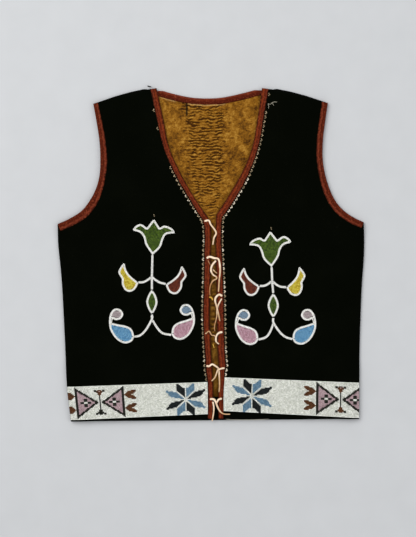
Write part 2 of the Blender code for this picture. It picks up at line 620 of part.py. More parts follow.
def hem_turn_up(collection):
    """The back's own cloth turned up inside the hem, which shows in the gap below the lining."""
    rows = np.array([HEM_LOW_Y, HEM_MIDDLE_Y, LINING_HEM_Y - GAP])
    right = np.stack([x_at(RIGHT.side_seam, rows) + LINING_SIDE_INSET, rows], axis=1)
    left = np.stack([x_at(LEFT.side_seam, rows) - LINING_SIDE_INSET, rows], axis=1)
    grid = np.array([a + (b - a) * np.linspace(0, 1, 7)[:, None] for a, b in zip(right, left)])
    height = LINING_Z + lift(grid[..., 1])
    cloth("back_hem_turn_up", with_height(grid, height), LINING_THICK, "black wool", collection)


def back_band(collection):
    """The bead band of the back, which the vest lies on."""
    rows = np.array([BACK_BAND_LOW_Y, HEM_MIDDLE_Y, LINING_LOW_Y])
    right = np.stack([x_at(RIGHT.side_seam, rows) + BACK_BAND_INSET, rows], axis=1)
    left = np.stack([x_at(LEFT.side_seam, rows) - BACK_BAND_INSET, rows], axis=1)
    grid = np.array([a + (b - a) * np.linspace(0, 1, 9)[:, None] for a, b in zip(right, left)])
    flat = with_height(grid, np.zeros(grid.shape[:2]))
    cloth("back_bead_band", flat, BEAD_THICK, "white beads", collection)


def bindings(collection):
    """The rust tapes round the front edges, the armholes and the back neck."""
    for edges, name in ((RIGHT, "right"), (LEFT, "left")):
        toward = -edges.side
        hole = edges.armhole_points()
        front_edge = stations(edges.front_points(), toward, TAPE_Z, edges.table["front_spread"])
        sweep(f"{name}_front_binding", front_edge, binding_section(FRONT_BINDING), "rust tape", collection)
        hole_edge = stations(hole, -toward, TAPE_Z, edges.table["armhole_spread"])
        sweep(f"{name}_armhole_binding", hole_edge, binding_section(ARMHOLE_BINDING), "rust tape", collection)
        sweep(f"{name}_back_armhole_binding", stations(hole, -toward, 0.0),
              flat_binding_section(ARMHOLE_BINDING), "rust tape", collection)
    outer = neck_curve(0)
    inner = neck_curve(NECK_BINDING)
    path = [(spot, turn, 0.0, 0.0) for spot, turn in zip(outer, (inner - outer) / NECK_BINDING)]
    sweep("back_neck_binding", path, flat_binding_section(NECK_BINDING), "rust tape", collection)


def spray(side, shapes, stems, collection, cutters):
    """One flower spray: each flower, bud, leaf and paisley, and the stems between them."""
    for name, rows, x, y, turn, mirror in shapes:
        outline = closed_outline(rows, x, y, turn, mirror)
        flat_solid(f"{side}_{name}", outline, BEADWORK_Z, BEAD_THICK, SHAPE_BEADS[name], collection)
    for name, lines in stems.items():
        pieces = []
        for number, line in enumerate(lines):
            label = f"{side}_{name}" if number == 0 else f"{side}_{name}_branch_{number}"
            home = collection if number == 0 else cutters
            pieces.append(flat_solid(label, ribbon(line, STEM_WIDTH), BEADWORK_Z, BEAD_THICK,
                                     "white beads", home))
        for branch in pieces[1:]:
            branch.hide_render = True
            branch.display_type = "WIRE"
            join = pieces[0].modifiers.new("join", "BOOLEAN")
            join.operation = "UNION"
            join.object = branch


def tie(name, route, collection):
    """One free thong, lying over the bindings and the gap between them."""
    middle = smooth(route, 8)
    count = int(length(middle) / (2.4 * 2 * THONG_RADIUS)) + 2
    middle = along(middle, np.linspace(0, 1, count))
    top = BEADWORK_Z - LAY + GAP + TAPE_THICK
    curve = bpy.data.curves.new(name, "CURVE")
    curve.dimensions = "3D"
    curve.bevel_depth = THONG_RADIUS * MM
    curve.bevel_resolution = 2
    curve.use_fill_caps = True
    spline = curve.splines.new("POLY")
    spline.points.add(count - 1)
    for point, (x, y, up) in zip(spline.points, middle):
        z = top + GAP + THONG_RADIUS + up + lift(y)
        point.co = (x * MM, y * MM, z * MM, 1)
    place(name, curve, "thong", collection)


def build():
    """Makes every piece of the vest."""
    part, cutters = start_over("beaded_vest")
    back_panel(part)
    hem_turn_up(part)
    lining_strip(part)
    lining_half(RIGHT, "right_lining", STRIP_RIGHT, part)
    lining_half(LEFT, "left_lining", STRIP_LEFT, part)
    front(RIGHT, "right_front", part)
    front(LEFT, "left_front", part)
    bindings(part)
    back_band(part)
    front_band(RIGHT, "right_bead_band", part)
    front_band(LEFT, "left_bead_band", part)
    spray("right", RIGHT_SPRAY, RIGHT_STEMS, part, cutters)
    spray("left", LEFT_SPRAY, LEFT_STEMS, part, cutters)
    for name, route in TIES.items():
        tie(name, route, part)


build()
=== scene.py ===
import bpy
import numpy as np
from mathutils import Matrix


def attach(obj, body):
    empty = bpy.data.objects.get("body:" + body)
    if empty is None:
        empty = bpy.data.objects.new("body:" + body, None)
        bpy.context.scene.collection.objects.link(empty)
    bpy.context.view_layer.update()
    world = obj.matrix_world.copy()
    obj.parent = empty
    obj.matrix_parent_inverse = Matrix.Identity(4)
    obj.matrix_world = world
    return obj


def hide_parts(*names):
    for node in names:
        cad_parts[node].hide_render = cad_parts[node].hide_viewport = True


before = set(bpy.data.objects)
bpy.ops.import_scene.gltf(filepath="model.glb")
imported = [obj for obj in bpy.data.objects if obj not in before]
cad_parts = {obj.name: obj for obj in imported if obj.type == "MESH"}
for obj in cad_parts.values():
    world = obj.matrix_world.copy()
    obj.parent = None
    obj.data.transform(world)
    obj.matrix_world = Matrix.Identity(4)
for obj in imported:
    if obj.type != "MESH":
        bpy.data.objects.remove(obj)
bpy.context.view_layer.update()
print("packed pieces:", len(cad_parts))

# %% [markdown]
# ## The camera
# The photograph looks straight down on the vest. A camera could be turned and moved until the
# picture fits, but here the scale is known, so its place and lens follow from two measurements: how
# many millimetres a pixel shows, and which point of the vest is in the middle of the picture.
# %% The camera over the vest
MM = 0.001
PHOTO_HIGH = 537
MM_A_PIXEL = 1.58
PHOTO_MIDDLE = (-4.3, -22.4)
CAMERA_ABOVE = 2.5
FRONTS_Z = 0.007
SENSOR = 36.0

bpy.ops.object.select_all(action="DESELECT")
bpy.ops.object.camera_add(location=(PHOTO_MIDDLE[0] * MM, PHOTO_MIDDLE[1] * MM, CAMERA_ABOVE + FRONTS_Z),
                          rotation=(0, 0, 0))
camera = bpy.context.object
camera.name = "overhead_camera"
camera.data.sensor_fit = "VERTICAL"
camera.data.sensor_height = SENSOR
camera.data.lens = SENSOR * CAMERA_ABOVE / (PHOTO_HIGH * MM_A_PIXEL * MM)
bpy.context.scene.camera = camera
print("lens:", round(camera.data.lens, 1), "mm")

# %% [markdown]
# ## Curves in the plane
# A garment is cut from a flat pattern, and a pattern is a set of curves. Each one could be a Blender
# curve object, but points in an array can be moved, cut and measured in one line, so the pattern is
# kept as arrays of millimetres and turned into metres when a piece is made.
# %% Smooth curves and measures
SPOTS_AT_ONCE = 4000


def smooth(points, steps=10):
    """A smooth curve through points, or through rows of points, with steps from each to the next."""
    p = np.asarray(points, float)
    p = np.concatenate([2 * p[:1] - p[1:2], p, 2 * p[-1:] - p[-2:-1]])
    t = np.linspace(0, 1, steps, endpoint=False).reshape(-1, *[1] * (p.ndim - 1))
    spans = []
    for a, b, c, d in zip(p, p[1:], p[2:], p[3:]):
        spans.append(0.5 * (2 * b + (c - a) * t + (2 * a - 5 * b + 4 * c - d) * t**2
                            + (3 * b - a - 3 * c + d) * t**3))
    spans.append(p[-2][None])
    return np.concatenate(spans)


def run_of(curve):
    """How far along the curve each of its points lies."""
    return np.concatenate([[0], np.cumsum(np.linalg.norm(np.diff(curve, axis=0), axis=1))])


def along(curve, shares):
    """The points of a curve at the given shares of its length."""
    run = run_of(curve)
    places = np.asarray(shares) * run[-1]
    return np.stack([np.interp(places, run, curve[:, k]) for k in range(curve.shape[1])], axis=1)


def evenly(curve, spacing):
    """The points of a curve about this far apart."""
    return along(curve, np.linspace(0, 1, max(2, round(run_of(curve)[-1] / spacing) + 1)))


def unit(directions):
    """The same directions, each of length 1."""
    return directions / np.linalg.norm(directions, axis=1)[:, None]


def left_of(curve, distance):
    """The curve moved to its left by the distance, which may be negative."""
    run = unit(np.gradient(curve, axis=0))
    return curve + distance * np.stack([-run[:, 1], run[:, 0]], axis=1)


def x_at(curve, y):
    """Where a curve that rises from hem to shoulder crosses a height."""
    return np.interp(y, curve[:, 1], curve[:, 0])


def points_at(curve, y):
    """The points where a curve that rises from hem to shoulder crosses some heights."""
    return np.stack([x_at(curve, y), y], axis=1)


def rows_between(starts, ends, count):
    """A row of evenly spaced points from each start to its end."""
    shares = np.linspace(0, 1, count)[:, None]
    return np.array([a + (b - a) * shares for a, b in zip(starts, ends)])


def middles(count):
    """The middle of each of this many equal parts, from 0 to 1."""
    return (np.arange(count) + 0.5) / count


def distance_to(points, curve, spacing=2.0):
    """The distance of each point to a curve."""
    dense = evenly(curve, spacing)
    flat = np.asarray(points).reshape(-1, 2)
    near = [np.linalg.norm(some[:, None] - dense, axis=-1).min(axis=-1)
            for some in np.array_split(flat, len(flat) // SPOTS_AT_ONCE + 1)]
    return np.concatenate(near).reshape(points.shape[:-1])


def rise(low, high, value):
    """0 below low, 1 above high, and smooth between."""
    t = np.clip((value - low) / (high - low), 0, 1)
    return t * t * (3 - 2 * t)


# %% [markdown]
# ## Shader sums
# A procedural material is arithmetic on patterns. Nodes could be linked one by one, but the sums are
# then hard to read. A small class wraps a socket, so that `0.5 * noise + 0.2` adds the Math nodes
# itself, and one method makes every other kind of node.
# %% A socket that can be used in sums


class Signal:
    """An output socket of a material, with the sums that the materials here use."""

    def __init__(self, paint, socket):
        self.paint = paint
        self.socket = socket

    def sum(self, operation, *values):
        """A Math node of this operation on the values."""
        return self.paint.node("ShaderNodeMath", {"operation": operation}, dict(enumerate(values)))

    def __add__(self, other):
        return self.sum("ADD", self, other)

    def __radd__(self, other):
        return self.sum("ADD", other, self)

    def __sub__(self, other):
        return self.sum("SUBTRACT", self, other)

    def __rsub__(self, other):
        return self.sum("SUBTRACT", other, self)

    def __mul__(self, other):
        return self.sum("MULTIPLY", self, other)

    def __rmul__(self, other):
        return self.sum("MULTIPLY", other, self)

    def wave(self):
        """The sine of the value."""
        return self.sum("SINE", self)

    def band(self, low, high):
        """0 below low, 1 above high, and smooth between."""
        values = {"Value": self, "From Min": low, "From Max": high}
        return self.paint.node("ShaderNodeMapRange", {"interpolation_type": "SMOOTHSTEP"}, values)


class Paint:
    """One material: its shader, and a method that makes every node that feeds it."""

    def __init__(self, name, **constants):
        self.material = bpy.data.materials.new(name)
        self.material.use_nodes = True
        self.nodes = self.material.node_tree.nodes
        self.links = self.material.node_tree.links
        self.shader = self.nodes["Principled BSDF"]
        for socket, value in constants.items():
            self.shader.inputs[socket.replace("_", " ")].default_value = value

    def node(self, kind, settings, values, output=0):
        """Makes a node: its settings first, and then the values or links of its sockets."""
        made = self.nodes.new(kind)
        for name, value in settings.items():
            if name == "stops":
                self.set_stops(made.color_ramp.elements, value)
            else:
                setattr(made, name, value)
        for name, value in values.items():
            self.feed(made.inputs[name], value)
        return Signal(self, made.outputs[output])

    def set_stops(self, elements, stops):
        """Gives a colour ramp its colours, each with its place from 0 to 1."""
        elements.remove(elements[1])
        elements[0].position, elements[0].color = stops[0]
        for share, color in stops[1:]:
            elements.new(share).color = color

    def feed(self, socket, value):
        """Gives a socket a value or a link."""
        if isinstance(value, Signal):
            self.links.new(value.socket, socket)
        else:
            socket.default_value = value

    def place(self):
        """Where the surface is, in metres."""
        return self.node("ShaderNodeTexCoord", {}, {}, "Object")

    def noise(self, size_mm, detail=2.0, vector=None, stretch=None):
        """Cloudy noise from 0 to 1, with features of about this size."""
        vector = vector or self.place()
        if stretch:
            vector = self.node("ShaderNodeVectorMath", {"operation": "MULTIPLY"}, {0: vector, 1: stretch})
        values = {"Vector": vector, "Scale": 1 / (size_mm * MM), "Detail": detail}
        return self.node("ShaderNodeTexNoise", {}, values, "Fac")

    def turned(self, degrees, stretch):
        """Where the surface is, turned about Z, so that a noise on it is drawn out along the turned Y."""
        values = {"Vector": self.place(), "Rotation": (0, 0, np.radians(degrees)), "Scale": (1, stretch, 1)}
        return self.node("ShaderNodeMapping", {"vector_type": "TEXTURE"}, values)

    def ramp(self, share, *stops):
        """The colour at a share of the way through the stops."""
        return self.node("ShaderNodeValToRGB", {"stops": stops}, {"Fac": share}, "Color")

    def attribute(self, name):
        """A number that is stored on the piece's mesh."""
        return self.node("ShaderNodeAttribute", {"attribute_name": name}, {}, "Fac")

    def mix(self, share, first, second):
        """The first colour where share is 0 and the second where it is 1."""
        values = {"Factor": share, 6: first, 7: second}
        return self.node("ShaderNodeMix", {"data_type": "RGBA"}, values, 2)

    def bump(self, height, depth_mm):
        """A normal from a height between 0 and 1."""
        values = {"Height": height, "Distance": depth_mm * MM, "Strength": 1.0}
        return self.node("ShaderNodeBump", {}, values, "Normal")

    def coat(self, **sockets):
        """Links what changes over the surface to the shader."""
        for name, value in sockets.items():
            self.feed(self.shader.inputs[name.replace("_", " ")], value)
        return self.material


def linear(red, green, blue):
    """A screen colour, each part from 0 to 255, as the light values that a shader takes."""
    parts = np.array((red, green, blue)) / 255
    light = np.where(parts < 0.04045, parts / 12.92, ((parts + 0.055) / 1.055) ** 2.4)
    return (*[float(part) for part in light], 1.0)


# %% [markdown]
# ## Finishing a piece
# Each piece says which body it moves with and which imported node it stands for. Those four calls
# could be repeated at every piece, but one short function keeps them from being forgotten.
# %% Dressing a piece


def dress(piece, material, slot, *nodes):
    """Gives a finished piece its material and body, and hides the nodes it stands for; the slot is not used.
    """
    piece.data.materials.clear()
    piece.data.materials.append(material)
    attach(piece, "root")
    if nodes:
        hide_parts(*nodes)
    return piece


def linked(name, mesh):
    """A smooth mesh as an object in the scene."""
    mesh.shade_smooth()
    piece = bpy.data.objects.new(name, mesh)
    bpy.context.scene.collection.objects.link(piece)
    return piece


def mesh_piece(name, points, faces):
    """An object from points in millimetres and faces."""
    mesh = bpy.data.meshes.new(name)
    mesh.from_pydata(np.asarray(points, float) * MM, [], faces)
    return linked(name, mesh)


def tube_faces(count, around):
    """The four-sided faces between one ring of points and the next."""
    return [(i * around + k, i * around + (k + 1) % around, (i + 1) * around + (k + 1) % around,
             (i + 1) * around + k) for i in range(count - 1) for k in range(around)]


def store(piece, name, values):
    """Keeps one number for each point of a piece, for its material."""
    stored = piece.data.attributes.new(name, "FLOAT", "POINT")
    stored.data.foreach_set("value", np.asarray(values, float).ravel())


# %% [markdown]
# ## The pattern of the vest
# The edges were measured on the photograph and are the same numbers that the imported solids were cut
# to. They could be read back from the solids, but those have broad facets, and a tailor's curve
# wants to be smooth. A spread is how much wider than usual a tape lies on the cloth, as y and mm.
# %% Edges of the pattern, from the hem upward
RIGHT_EDGE = {
    "center": [(3.6, -259.5), (3.6, -222.0), (2.7, -190.7), (0.0, -143.3), (-1.9, -103.8), (-1.1, -56.4),
               (-0.3, -5.8), (0.0, 40.0), (-4.4, 58.9)],
    "neck": [(-4.4, 58.9), (-25.6, 89.4), (-47.9, 128.5), (-65.8, 169.5), (-75.4, 215.4), (-85.6, 262.8)],
    "side": [(-220.6, -264.3), (-226.9, -209.7), (-230.4, -133.8), (-235.4, -40.6), (-240.6, 11.5),
             (-242.2, 47.9)],
    "armhole": [(-242.2, 47.9), (-223.4, 56.4), (-204.6, 68.4), (-190.9, 85.5), (-180.6, 106.2),
                (-175.4, 128.5), (-174.6, 154.0), (-176.0, 179.8), (-180.4, 208.9), (-185.7, 238.1)],
    "band_top": (-201.2, -209.2),
    "band_bottom": (-252.4, -262.0),
    "front_spread": [(-196.0, 0.0), (-184.0, 1.5), (50.0, 1.5), (62.0, 1.5), (90.0, 0.0), (170.0, 0.3),
                     (205.0, 1.5), (262.8, 1.8)],
    "armhole_spread": [(50.0, 2.4), (60.0, 2.9), (76.0, 3.3), (86.0, 3.0), (95.0, 2.1), (105.0, 1.1),
                       (124.0, 0.0), (150.0, 1.4), (170.0, 0.4), (190.0, -0.5), (208.0, -1.0), (238.0, -1.7)],
}
LEFT_EDGE = {
    "center": [(12.3, -259.3), (12.0, -222.3), (13.6, -190.7), (10.6, -143.3), (9.6, -80.0), (9.2, -40.6),
               (7.9, 22.6), (8.4, 62.1)],
    "neck": [(8.4, 62.1), (27.3, 91.0), (49.8, 130.2), (65.6, 169.5), (74.5, 217.9), (81.0, 262.8)],
    "side": [(234.3, -260.4), (234.6, -201.8), (235.4, -133.8), (238.7, -48.5), (242.2, 2.8), (242.0, 50.9)],
    "armhole": [(242.0, 50.9), (228.0, 57.2), (211.7, 68.1), (197.2, 84.4), (186.3, 107.9), (179.4, 133.4),
                (176.8, 156.9), (177.6, 182.3), (180.2, 204.1), (185.2, 239.5)],
    "band_top": (-193.8, -202.6),
    "band_bottom": (-247.6, -258.6),
    "front_spread": [(-188.0, 0.0), (-178.0, 3.0), (-80.0, 3.0), (-20.0, 1.5), (20.0, 0.6), (50.0, 1.0),
                     (66.0, 3.0), (90.0, 3.4), (120.0, 3.2), (150.0, 1.5), (170.0, 1.0), (215.0, 1.5),
                     (262.8, 2.4)],
    "armhole_spread": [(52.0, 0.6), (68.0, 1.5), (95.0, 1.6), (105.0, 1.2), (125.0, 0.2), (240.0, 0.0)],
}
BACK_NECK = [(-90.5, 264.3), (-73.9, 258.2), (-51.2, 252.2), (-28.6, 248.0), (-5.8, 246.8), (16.7, 248.0),
             (39.5, 252.4), (62.1, 258.0), (84.8, 264.3)]
NECK_POINT_X = 92.0
NECK_POINT_Y = 264.3
NECK_POINTS = 15
SHOULDER_POINTS = 13
SHOULDER_BULGE = 2.8
LOW_ROWS = [-236.0, -220.0]
RISE_ROWS = [-186.0, -179.5, -173.0, -166.5, -160.0]
BODY_ROWS = [-135.0, -105.0, -75.0, -45.0, -15.0, 15.0]
UPPER_SHARES = [0.06, 0.12, 0.19, 0.26, 0.34, 0.43, 0.52, 0.61, 0.70, 0.79, 0.88, 0.94, 0.975, 1.0]

# %% Thicknesses and heights of the layers
GAP = 0.3
LAY = 0.35
BACK_THICK = 1.6
LINING_THICK = 1.0
FRONT_THICK = 1.8
TAPE_THICK = 0.7
BEAD_THICK = 1.7
LINING_Z = BACK_THICK + LAY
TAPE_Z = LINING_Z + LINING_THICK + LAY
FRONT_Z = TAPE_Z + TAPE_THICK + GAP
BEADWORK_Z = FRONT_Z + FRONT_THICK + LAY
SEAM_Z = BACK_THICK + LAY
BACK_BINDING_THICK = TAPE_Z - LAY
LIFT = BEAD_THICK + LAY
LIFT_FULL_Y = -186.0
LIFT_GONE_Y = -160.0
DROP_REACH = 11.0
PUFF = 1.5
PUFF_REACH = 40.0
UNBOUND_NEAR = 9.0
UNBOUND_FAR = 28.0
FRONT_BINDING = 8.0
ARMHOLE_BINDING = 9.5
NECK_BINDING = 10.2
CLOTH_INSET = 1.3
RIPPLE = 0.45
WAVES = [(1.0, 23, 61, 0.6), (0.8, -90, 34, 1.9), (0.6, 13, -27, 0.0)]  # height, lengths in x and y, start


def lift(y):
    """How far the bead band under the back raises the layers above it."""
    return LIFT * (1 - rise(LIFT_FULL_Y, LIFT_GONE_Y, y))


def ripple(points):
    """The slight waves of cloth that was folded and laid out again, from -1 to 1."""
    x, y = points[..., 0], points[..., 1]
    waves = sum(high * np.sin(x / wide + y / tall + start) for high, wide, tall, start in WAVES)
    return waves / sum(wave[0] for wave in WAVES)


# %% The edges of one front and how its cloth lies


def shoulder_line(x_from, x_to, shares, side):
    """Points of a shoulder seam from one x to another; side is -1 on the right."""
    tip = np.array((RIGHT_EDGE if side < 0 else LEFT_EDGE)["armhole"][-1])
    neck = np.array((side * NECK_POINT_X, NECK_POINT_Y))
    x = x_from + (x_to - x_from) * np.asarray(shares, float)
    share = (x - neck[0]) / (tip[0] - neck[0])
    y = neck[1] + share * (tip[1] - neck[1]) + SHOULDER_BULGE * np.sin(np.pi * np.clip(share, 0, 1))
    return np.stack([x, y], axis=1)


class FrontEdges:
    """The smooth edges of one front, and the rows of its cloth."""

    def __init__(self, table, side):
        self.side = side
        self.table = table
        self.center = smooth(table["center"])
        self.neck = smooth(table["neck"])
        self.front = np.vstack([self.center, self.neck[1:]])
        self.side_seam = smooth(table["side"])
        self.armhole = smooth(table["armhole"])
        shares = np.linspace(0, 1, SHOULDER_POINTS)
        self.shoulder = shoulder_line(table["neck"][-1][0], table["armhole"][-1][0], shares, side)

    def row_heights(self, column, hem, corner):
        """The y of each row below the underarm: column is 0 on the front edge and 1 on the side seam."""
        bottom, top = self.table["band_bottom"][column], self.table["band_top"][column]
        return np.array([hem, bottom, *LOW_ROWS, top, *RISE_ROWS, *BODY_ROWS, corner])

    def front_points(self):
        """Where the rows meet the front edge."""
        y = self.row_heights(0, self.center[0, 1], self.center[-1, 1])
        return np.vstack([points_at(self.center, y), along(self.neck, UPPER_SHARES)])

    def armhole_points(self):
        """Where the rows meet the armhole, from the underarm to the shoulder."""
        return along(self.armhole, [0.0, *UPPER_SHARES])

    def inner_and_outer(self, inner_inset, armhole_inset):
        """The ends of each row: on the front edge and on the side seam or armhole."""
        inner = left_of(self.front_points(), -self.side * inner_inset)
        hole = left_of(self.armhole_points(), self.side * armhole_inset)
        seam_x = x_at(self.side_seam, hole[0, 1])
        corner = hole[0] + (hole[0] - hole[1]) * (seam_x - hole[0, 0]) / (hole[0, 0] - hole[1, 0])
        y = self.row_heights(1, self.side_seam[0, 1], corner[1])
        return inner, np.vstack([points_at(self.side_seam, y), hole[1:]])

    def height(self, points):
        """The underside of the front cloth at each point."""
        seam = np.minimum(distance_to(points, self.side_seam), distance_to(points, self.shoulder))
        bound = np.minimum(distance_to(points, self.armhole), distance_to(points, self.front))
        loose = rise(UNBOUND_NEAR, UNBOUND_FAR, bound)
        drop = (FRONT_Z - SEAM_Z) * (1 - rise(0, DROP_REACH, seam)) * loose
        puff = PUFF * np.sin(np.pi * np.minimum(seam, PUFF_REACH) / PUFF_REACH) ** 2
        waves = RIPPLE * ripple(points) * loose * rise(0, PUFF_REACH, seam)
        return FRONT_Z - drop + puff * loose + waves + lift(points[..., 1])


RIGHT = FrontEdges(RIGHT_EDGE, -1)
LEFT = FrontEdges(LEFT_EDGE, 1)
FRONTS = {"right": RIGHT, "left": LEFT}
print("front edge, right and left:", [round(run_of(f.front)[-1]) for f in (RIGHT, LEFT)], "mm")

# %% [markdown]
# ## The thong ties
# The fronts are tied with narrow hide thongs that were knotted through the binding and now lie over
# the gap. A thong could be a curve with a round bevel, but hide lace is a flattened strip that
# twists and thins, so an oval section is carried along the route as a mesh, and its ends are pinched.
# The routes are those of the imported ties.
# %% Routes of the ties
THONG_WIDE = 2.1
THONG_HIGH = 1.7
THONG_Z = BEADWORK_Z - LAY + 2 * GAP + TAPE_THICK + 1.0
TIES = {
    "tie_1": [(-10.1, 52.3, 0), (-3.2, 53.4, 0), (0.0, 47.1, 0), (6.0, 39.2, 0), (8.6, 33.0, 0),
              (5.2, 26.1, 0), (3.3, 15.0, 0)],
    "tie_2_long": [(-6.5, -6.0, 0), (-1.3, -4.0, 0), (5.2, -6.0, 0), (12.4, -8.0, 0), (14.7, -20.4, 0),
                   (14.7, -28.6, 0), (13.4, -41.7, 0), (12.2, -59.4, 0)],
    "tie_2_loop": [(8.2, -10.0, 0), (2.1, -17.5, 0), (0.6, -26.1, 0), (4.0, -32.5, 0), (8.9, -35.6, 0),
                   (8.7, -38.9, 0), (3.4, -42.0, 0), (-0.6, -49.5, 0), (-1.6, -58.5, 0), (-0.9, -65.5, 0)],
    "tie_3_long": [(17.4, -70.0, 0), (13.8, -76.0, 0), (11.0, -82.5, 0), (9.8, -89.0, 0), (9.9, -96.0, 0),
                   (8.4, -103.5, 0), (6.8, -109.5, 0), (5.8, -116.0, 0), (6.6, -121.5, 0)],
    "tie_3_short": [(18.3, -65.9, 0), (13.1, -63.6, 0), (7.9, -68.4, 0), (7.1, -74.2, 0.8),
                    (9.0, -81.0, 2.6), (11.0, -89.0, 2.9), (12.8, -97.0, 1.6), (14.5, -105.6, 0)],
    "tie_4": [(-7.4, -124.8, 0), (-2.5, -121.5, 0), (1.4, -127.5, 0), (6.0, -128.5, 0), (8.5, -132.6, 0),
              (9.2, -138.6, 0), (13.1, -141.7, 0)],
    "tie_5_long": [(-6.8, -175.9, 0), (-2.5, -176.7, 0), (2.1, -173.6, 0), (7.9, -176.6, 0),
                   (12.3, -180.6, 0), (13.3, -188.0, 0), (13.9, -206.5, 0), (13.1, -217.6, 0)],
    "tie_5_short": [(22.0, -179.6, 0.4), (17.0, -180.2, 2.5), (11.6, -182.2, 2.9), (9.5, -187.0, 1.4),
                    (6.5, -194.5, 0.2), (1.4, -200.0, 0)],
    "tie_6_right": [(-1.3, -228.5, 0), (4.7, -228.8, 0), (7.6, -232.6, 0), (9.6, -238.0, 0),
                    (12.4, -244.2, 0), (16.0, -249.2, 0), (21.5, -252.0, 0), (30.8, -252.4, 0)],
    "tie_6_left": [(3.3, -232.6, 0), (4.4, -237.5, 0), (4.9, -243.5, 0), (4.2, -252.0, 0), (2.2, -263.6, 0)],
}

# %% Hide, cream where it is clean, with painted highlight in its palest cream, and brown towards its ends
# The palest cream is clean hide with a painted highlight on it.
CLEAN_HIDE_AND_HIGHLIGHT = linear(250, 228, 200)
HANDLED_HIDE = linear(206, 168, 124)
BROWN_HIDE = linear(166, 110, 62)
GOLD_THREAD = linear(206, 160, 56)
GRAIN_HIDE = linear(120, 78, 42)
hide = Paint("cream_hide_thong", Roughness=0.62, Specular_IOR_Level=0.35)
handled = hide.noise(5.0, 3.0)
grain = hide.noise(0.5, 3.0)
hide_color = hide.ramp(hide.attribute("age") * 0.5 + handled * 0.5 - 0.2,
                       (0.0, CLEAN_HIDE_AND_HIGHLIGHT), (0.3, HANDLED_HIDE), (0.6, BROWN_HIDE), (0.85, GOLD_THREAD))
hide_color = hide.mix(0.22 * grain, hide_color, GRAIN_HIDE)
HIDE = hide.coat(Base_Color=hide_color, Normal=hide.bump(grain, 0.25))

# %% Thongs as oval tubes
OVAL_SIDES = 8
UNEVEN_PLACES = 8
UNEVEN = (0.86, 1.12)
PINCHED = 0.55
MERGE_WITHIN = 0.000001


def oval_tube(name, middle, wide, high, seed):
    """A closed tube with an oval section that varies a little, pinched at both ends."""
    rng = np.random.default_rng(seed)
    count = len(middle)
    run = unit(np.gradient(middle, axis=0))
    side = unit(np.cross((0, 0, 1), run))
    up = np.cross(run, side)
    turn = np.arange(OVAL_SIDES) * 2 * np.pi / OVAL_SIDES
    ring = np.arange(count)
    uneven = rng.uniform(*UNEVEN, UNEVEN_PLACES)
    wave = np.interp(ring, np.linspace(0, count, UNEVEN_PLACES), uneven)
    wave *= np.minimum(1, PINCHED + (1 - PINCHED) * np.minimum(ring, ring[::-1]))
    across = (wave * wide / 2)[:, None, None] * np.cos(turn)[None, :, None]
    tall = (wave * high / 2)[:, None, None] * np.sin(turn)[None, :, None]
    rings = middle[:, None] + side[:, None] * across + up[:, None] * tall
    first_end = tuple(range(OVAL_SIDES))[::-1]
    last_end = tuple(range((count - 1) * OVAL_SIDES, count * OVAL_SIDES))
    faces = [*tube_faces(count, OVAL_SIDES), first_end, last_end]
    return mesh_piece(name, rings.reshape(-1, 3), faces)


def outward(piece):
    """Turns all faces of a closed piece outward, with its doubles merged first."""
    bpy.ops.object.select_all(action="DESELECT")
    piece.select_set(True)
    bpy.context.view_layer.objects.active = piece
    bpy.ops.object.mode_set(mode="EDIT")
    bpy.ops.mesh.select_all(action="SELECT")
    bpy.ops.mesh.remove_doubles(threshold=MERGE_WITHIN)
    bpy.ops.mesh.normals_make_consistent(inside=False)
    bpy.ops.object.mode_set(mode="OBJECT")
    return piece


# %% One tie, wide, clean and palest with painted highlight where it leaves the binding
AGE_FROM = 0.15
AGE_FULL = 0.9
ROUTE_STEPS = 8
RING_STEP = 1.0
THONG_LOOKS = {  # width at the first and last point, as a share, and age there
    "tie_1": ((1.5, 1.05), (0.0, 0.3)), "tie_2_long": ((1.6, 1.0), (0.0, 0.55)),
    "tie_2_loop": ((1.6, 0.7), (0.0, 1.1)), "tie_3_long": ((1.3, 0.7), (0.1, 1.0)),
    "tie_3_short": ((1.6, 0.9), (0.0, 0.6)), "tie_4": ((0.8, 1.1), (0.8, 0.2)),
    "tie_5_long": ((1.5, 0.9), (0.0, 0.6)), "tie_5_short": ((1.3, 1.0), (0.1, 0.4)),
    "tie_6_right": ((1.6, 0.8), (0.0, 0.6)), "tie_6_left": ((1.3, 0.8), (0.1, 0.35)),
}


def strand(name, route, seed, taper, ages):
    """A thong along a route, with its width and its age running from the first value to the second."""
    middle = evenly(smooth(route, ROUTE_STEPS), RING_STEP)
    middle[:, 2] += THONG_Z + lift(middle[:, 1])
    share = np.linspace(0, 1, len(middle))
    thin = taper[0] + (taper[1] - taper[0]) * share
    piece = oval_tube(name, middle, THONG_WIDE * thin, THONG_HIGH * np.minimum(thin, 1.0), seed)
    age = ages[0] + (ages[1] - ages[0]) * rise(AGE_FROM, AGE_FULL, share)
    store(piece, "age", np.repeat(age, OVAL_SIDES))
    return outward(piece), middle


def thong(name, route, seed):
    """One tie along its route, which gives back its own length."""
    piece, middle = strand("thong_" + name, route, seed, *THONG_LOOKS[name])
    dress(piece, HIDE, "thong", name)
    long = run_of(middle)[-1] * MM
    middle[0] * MM
    middle * MM
    return long


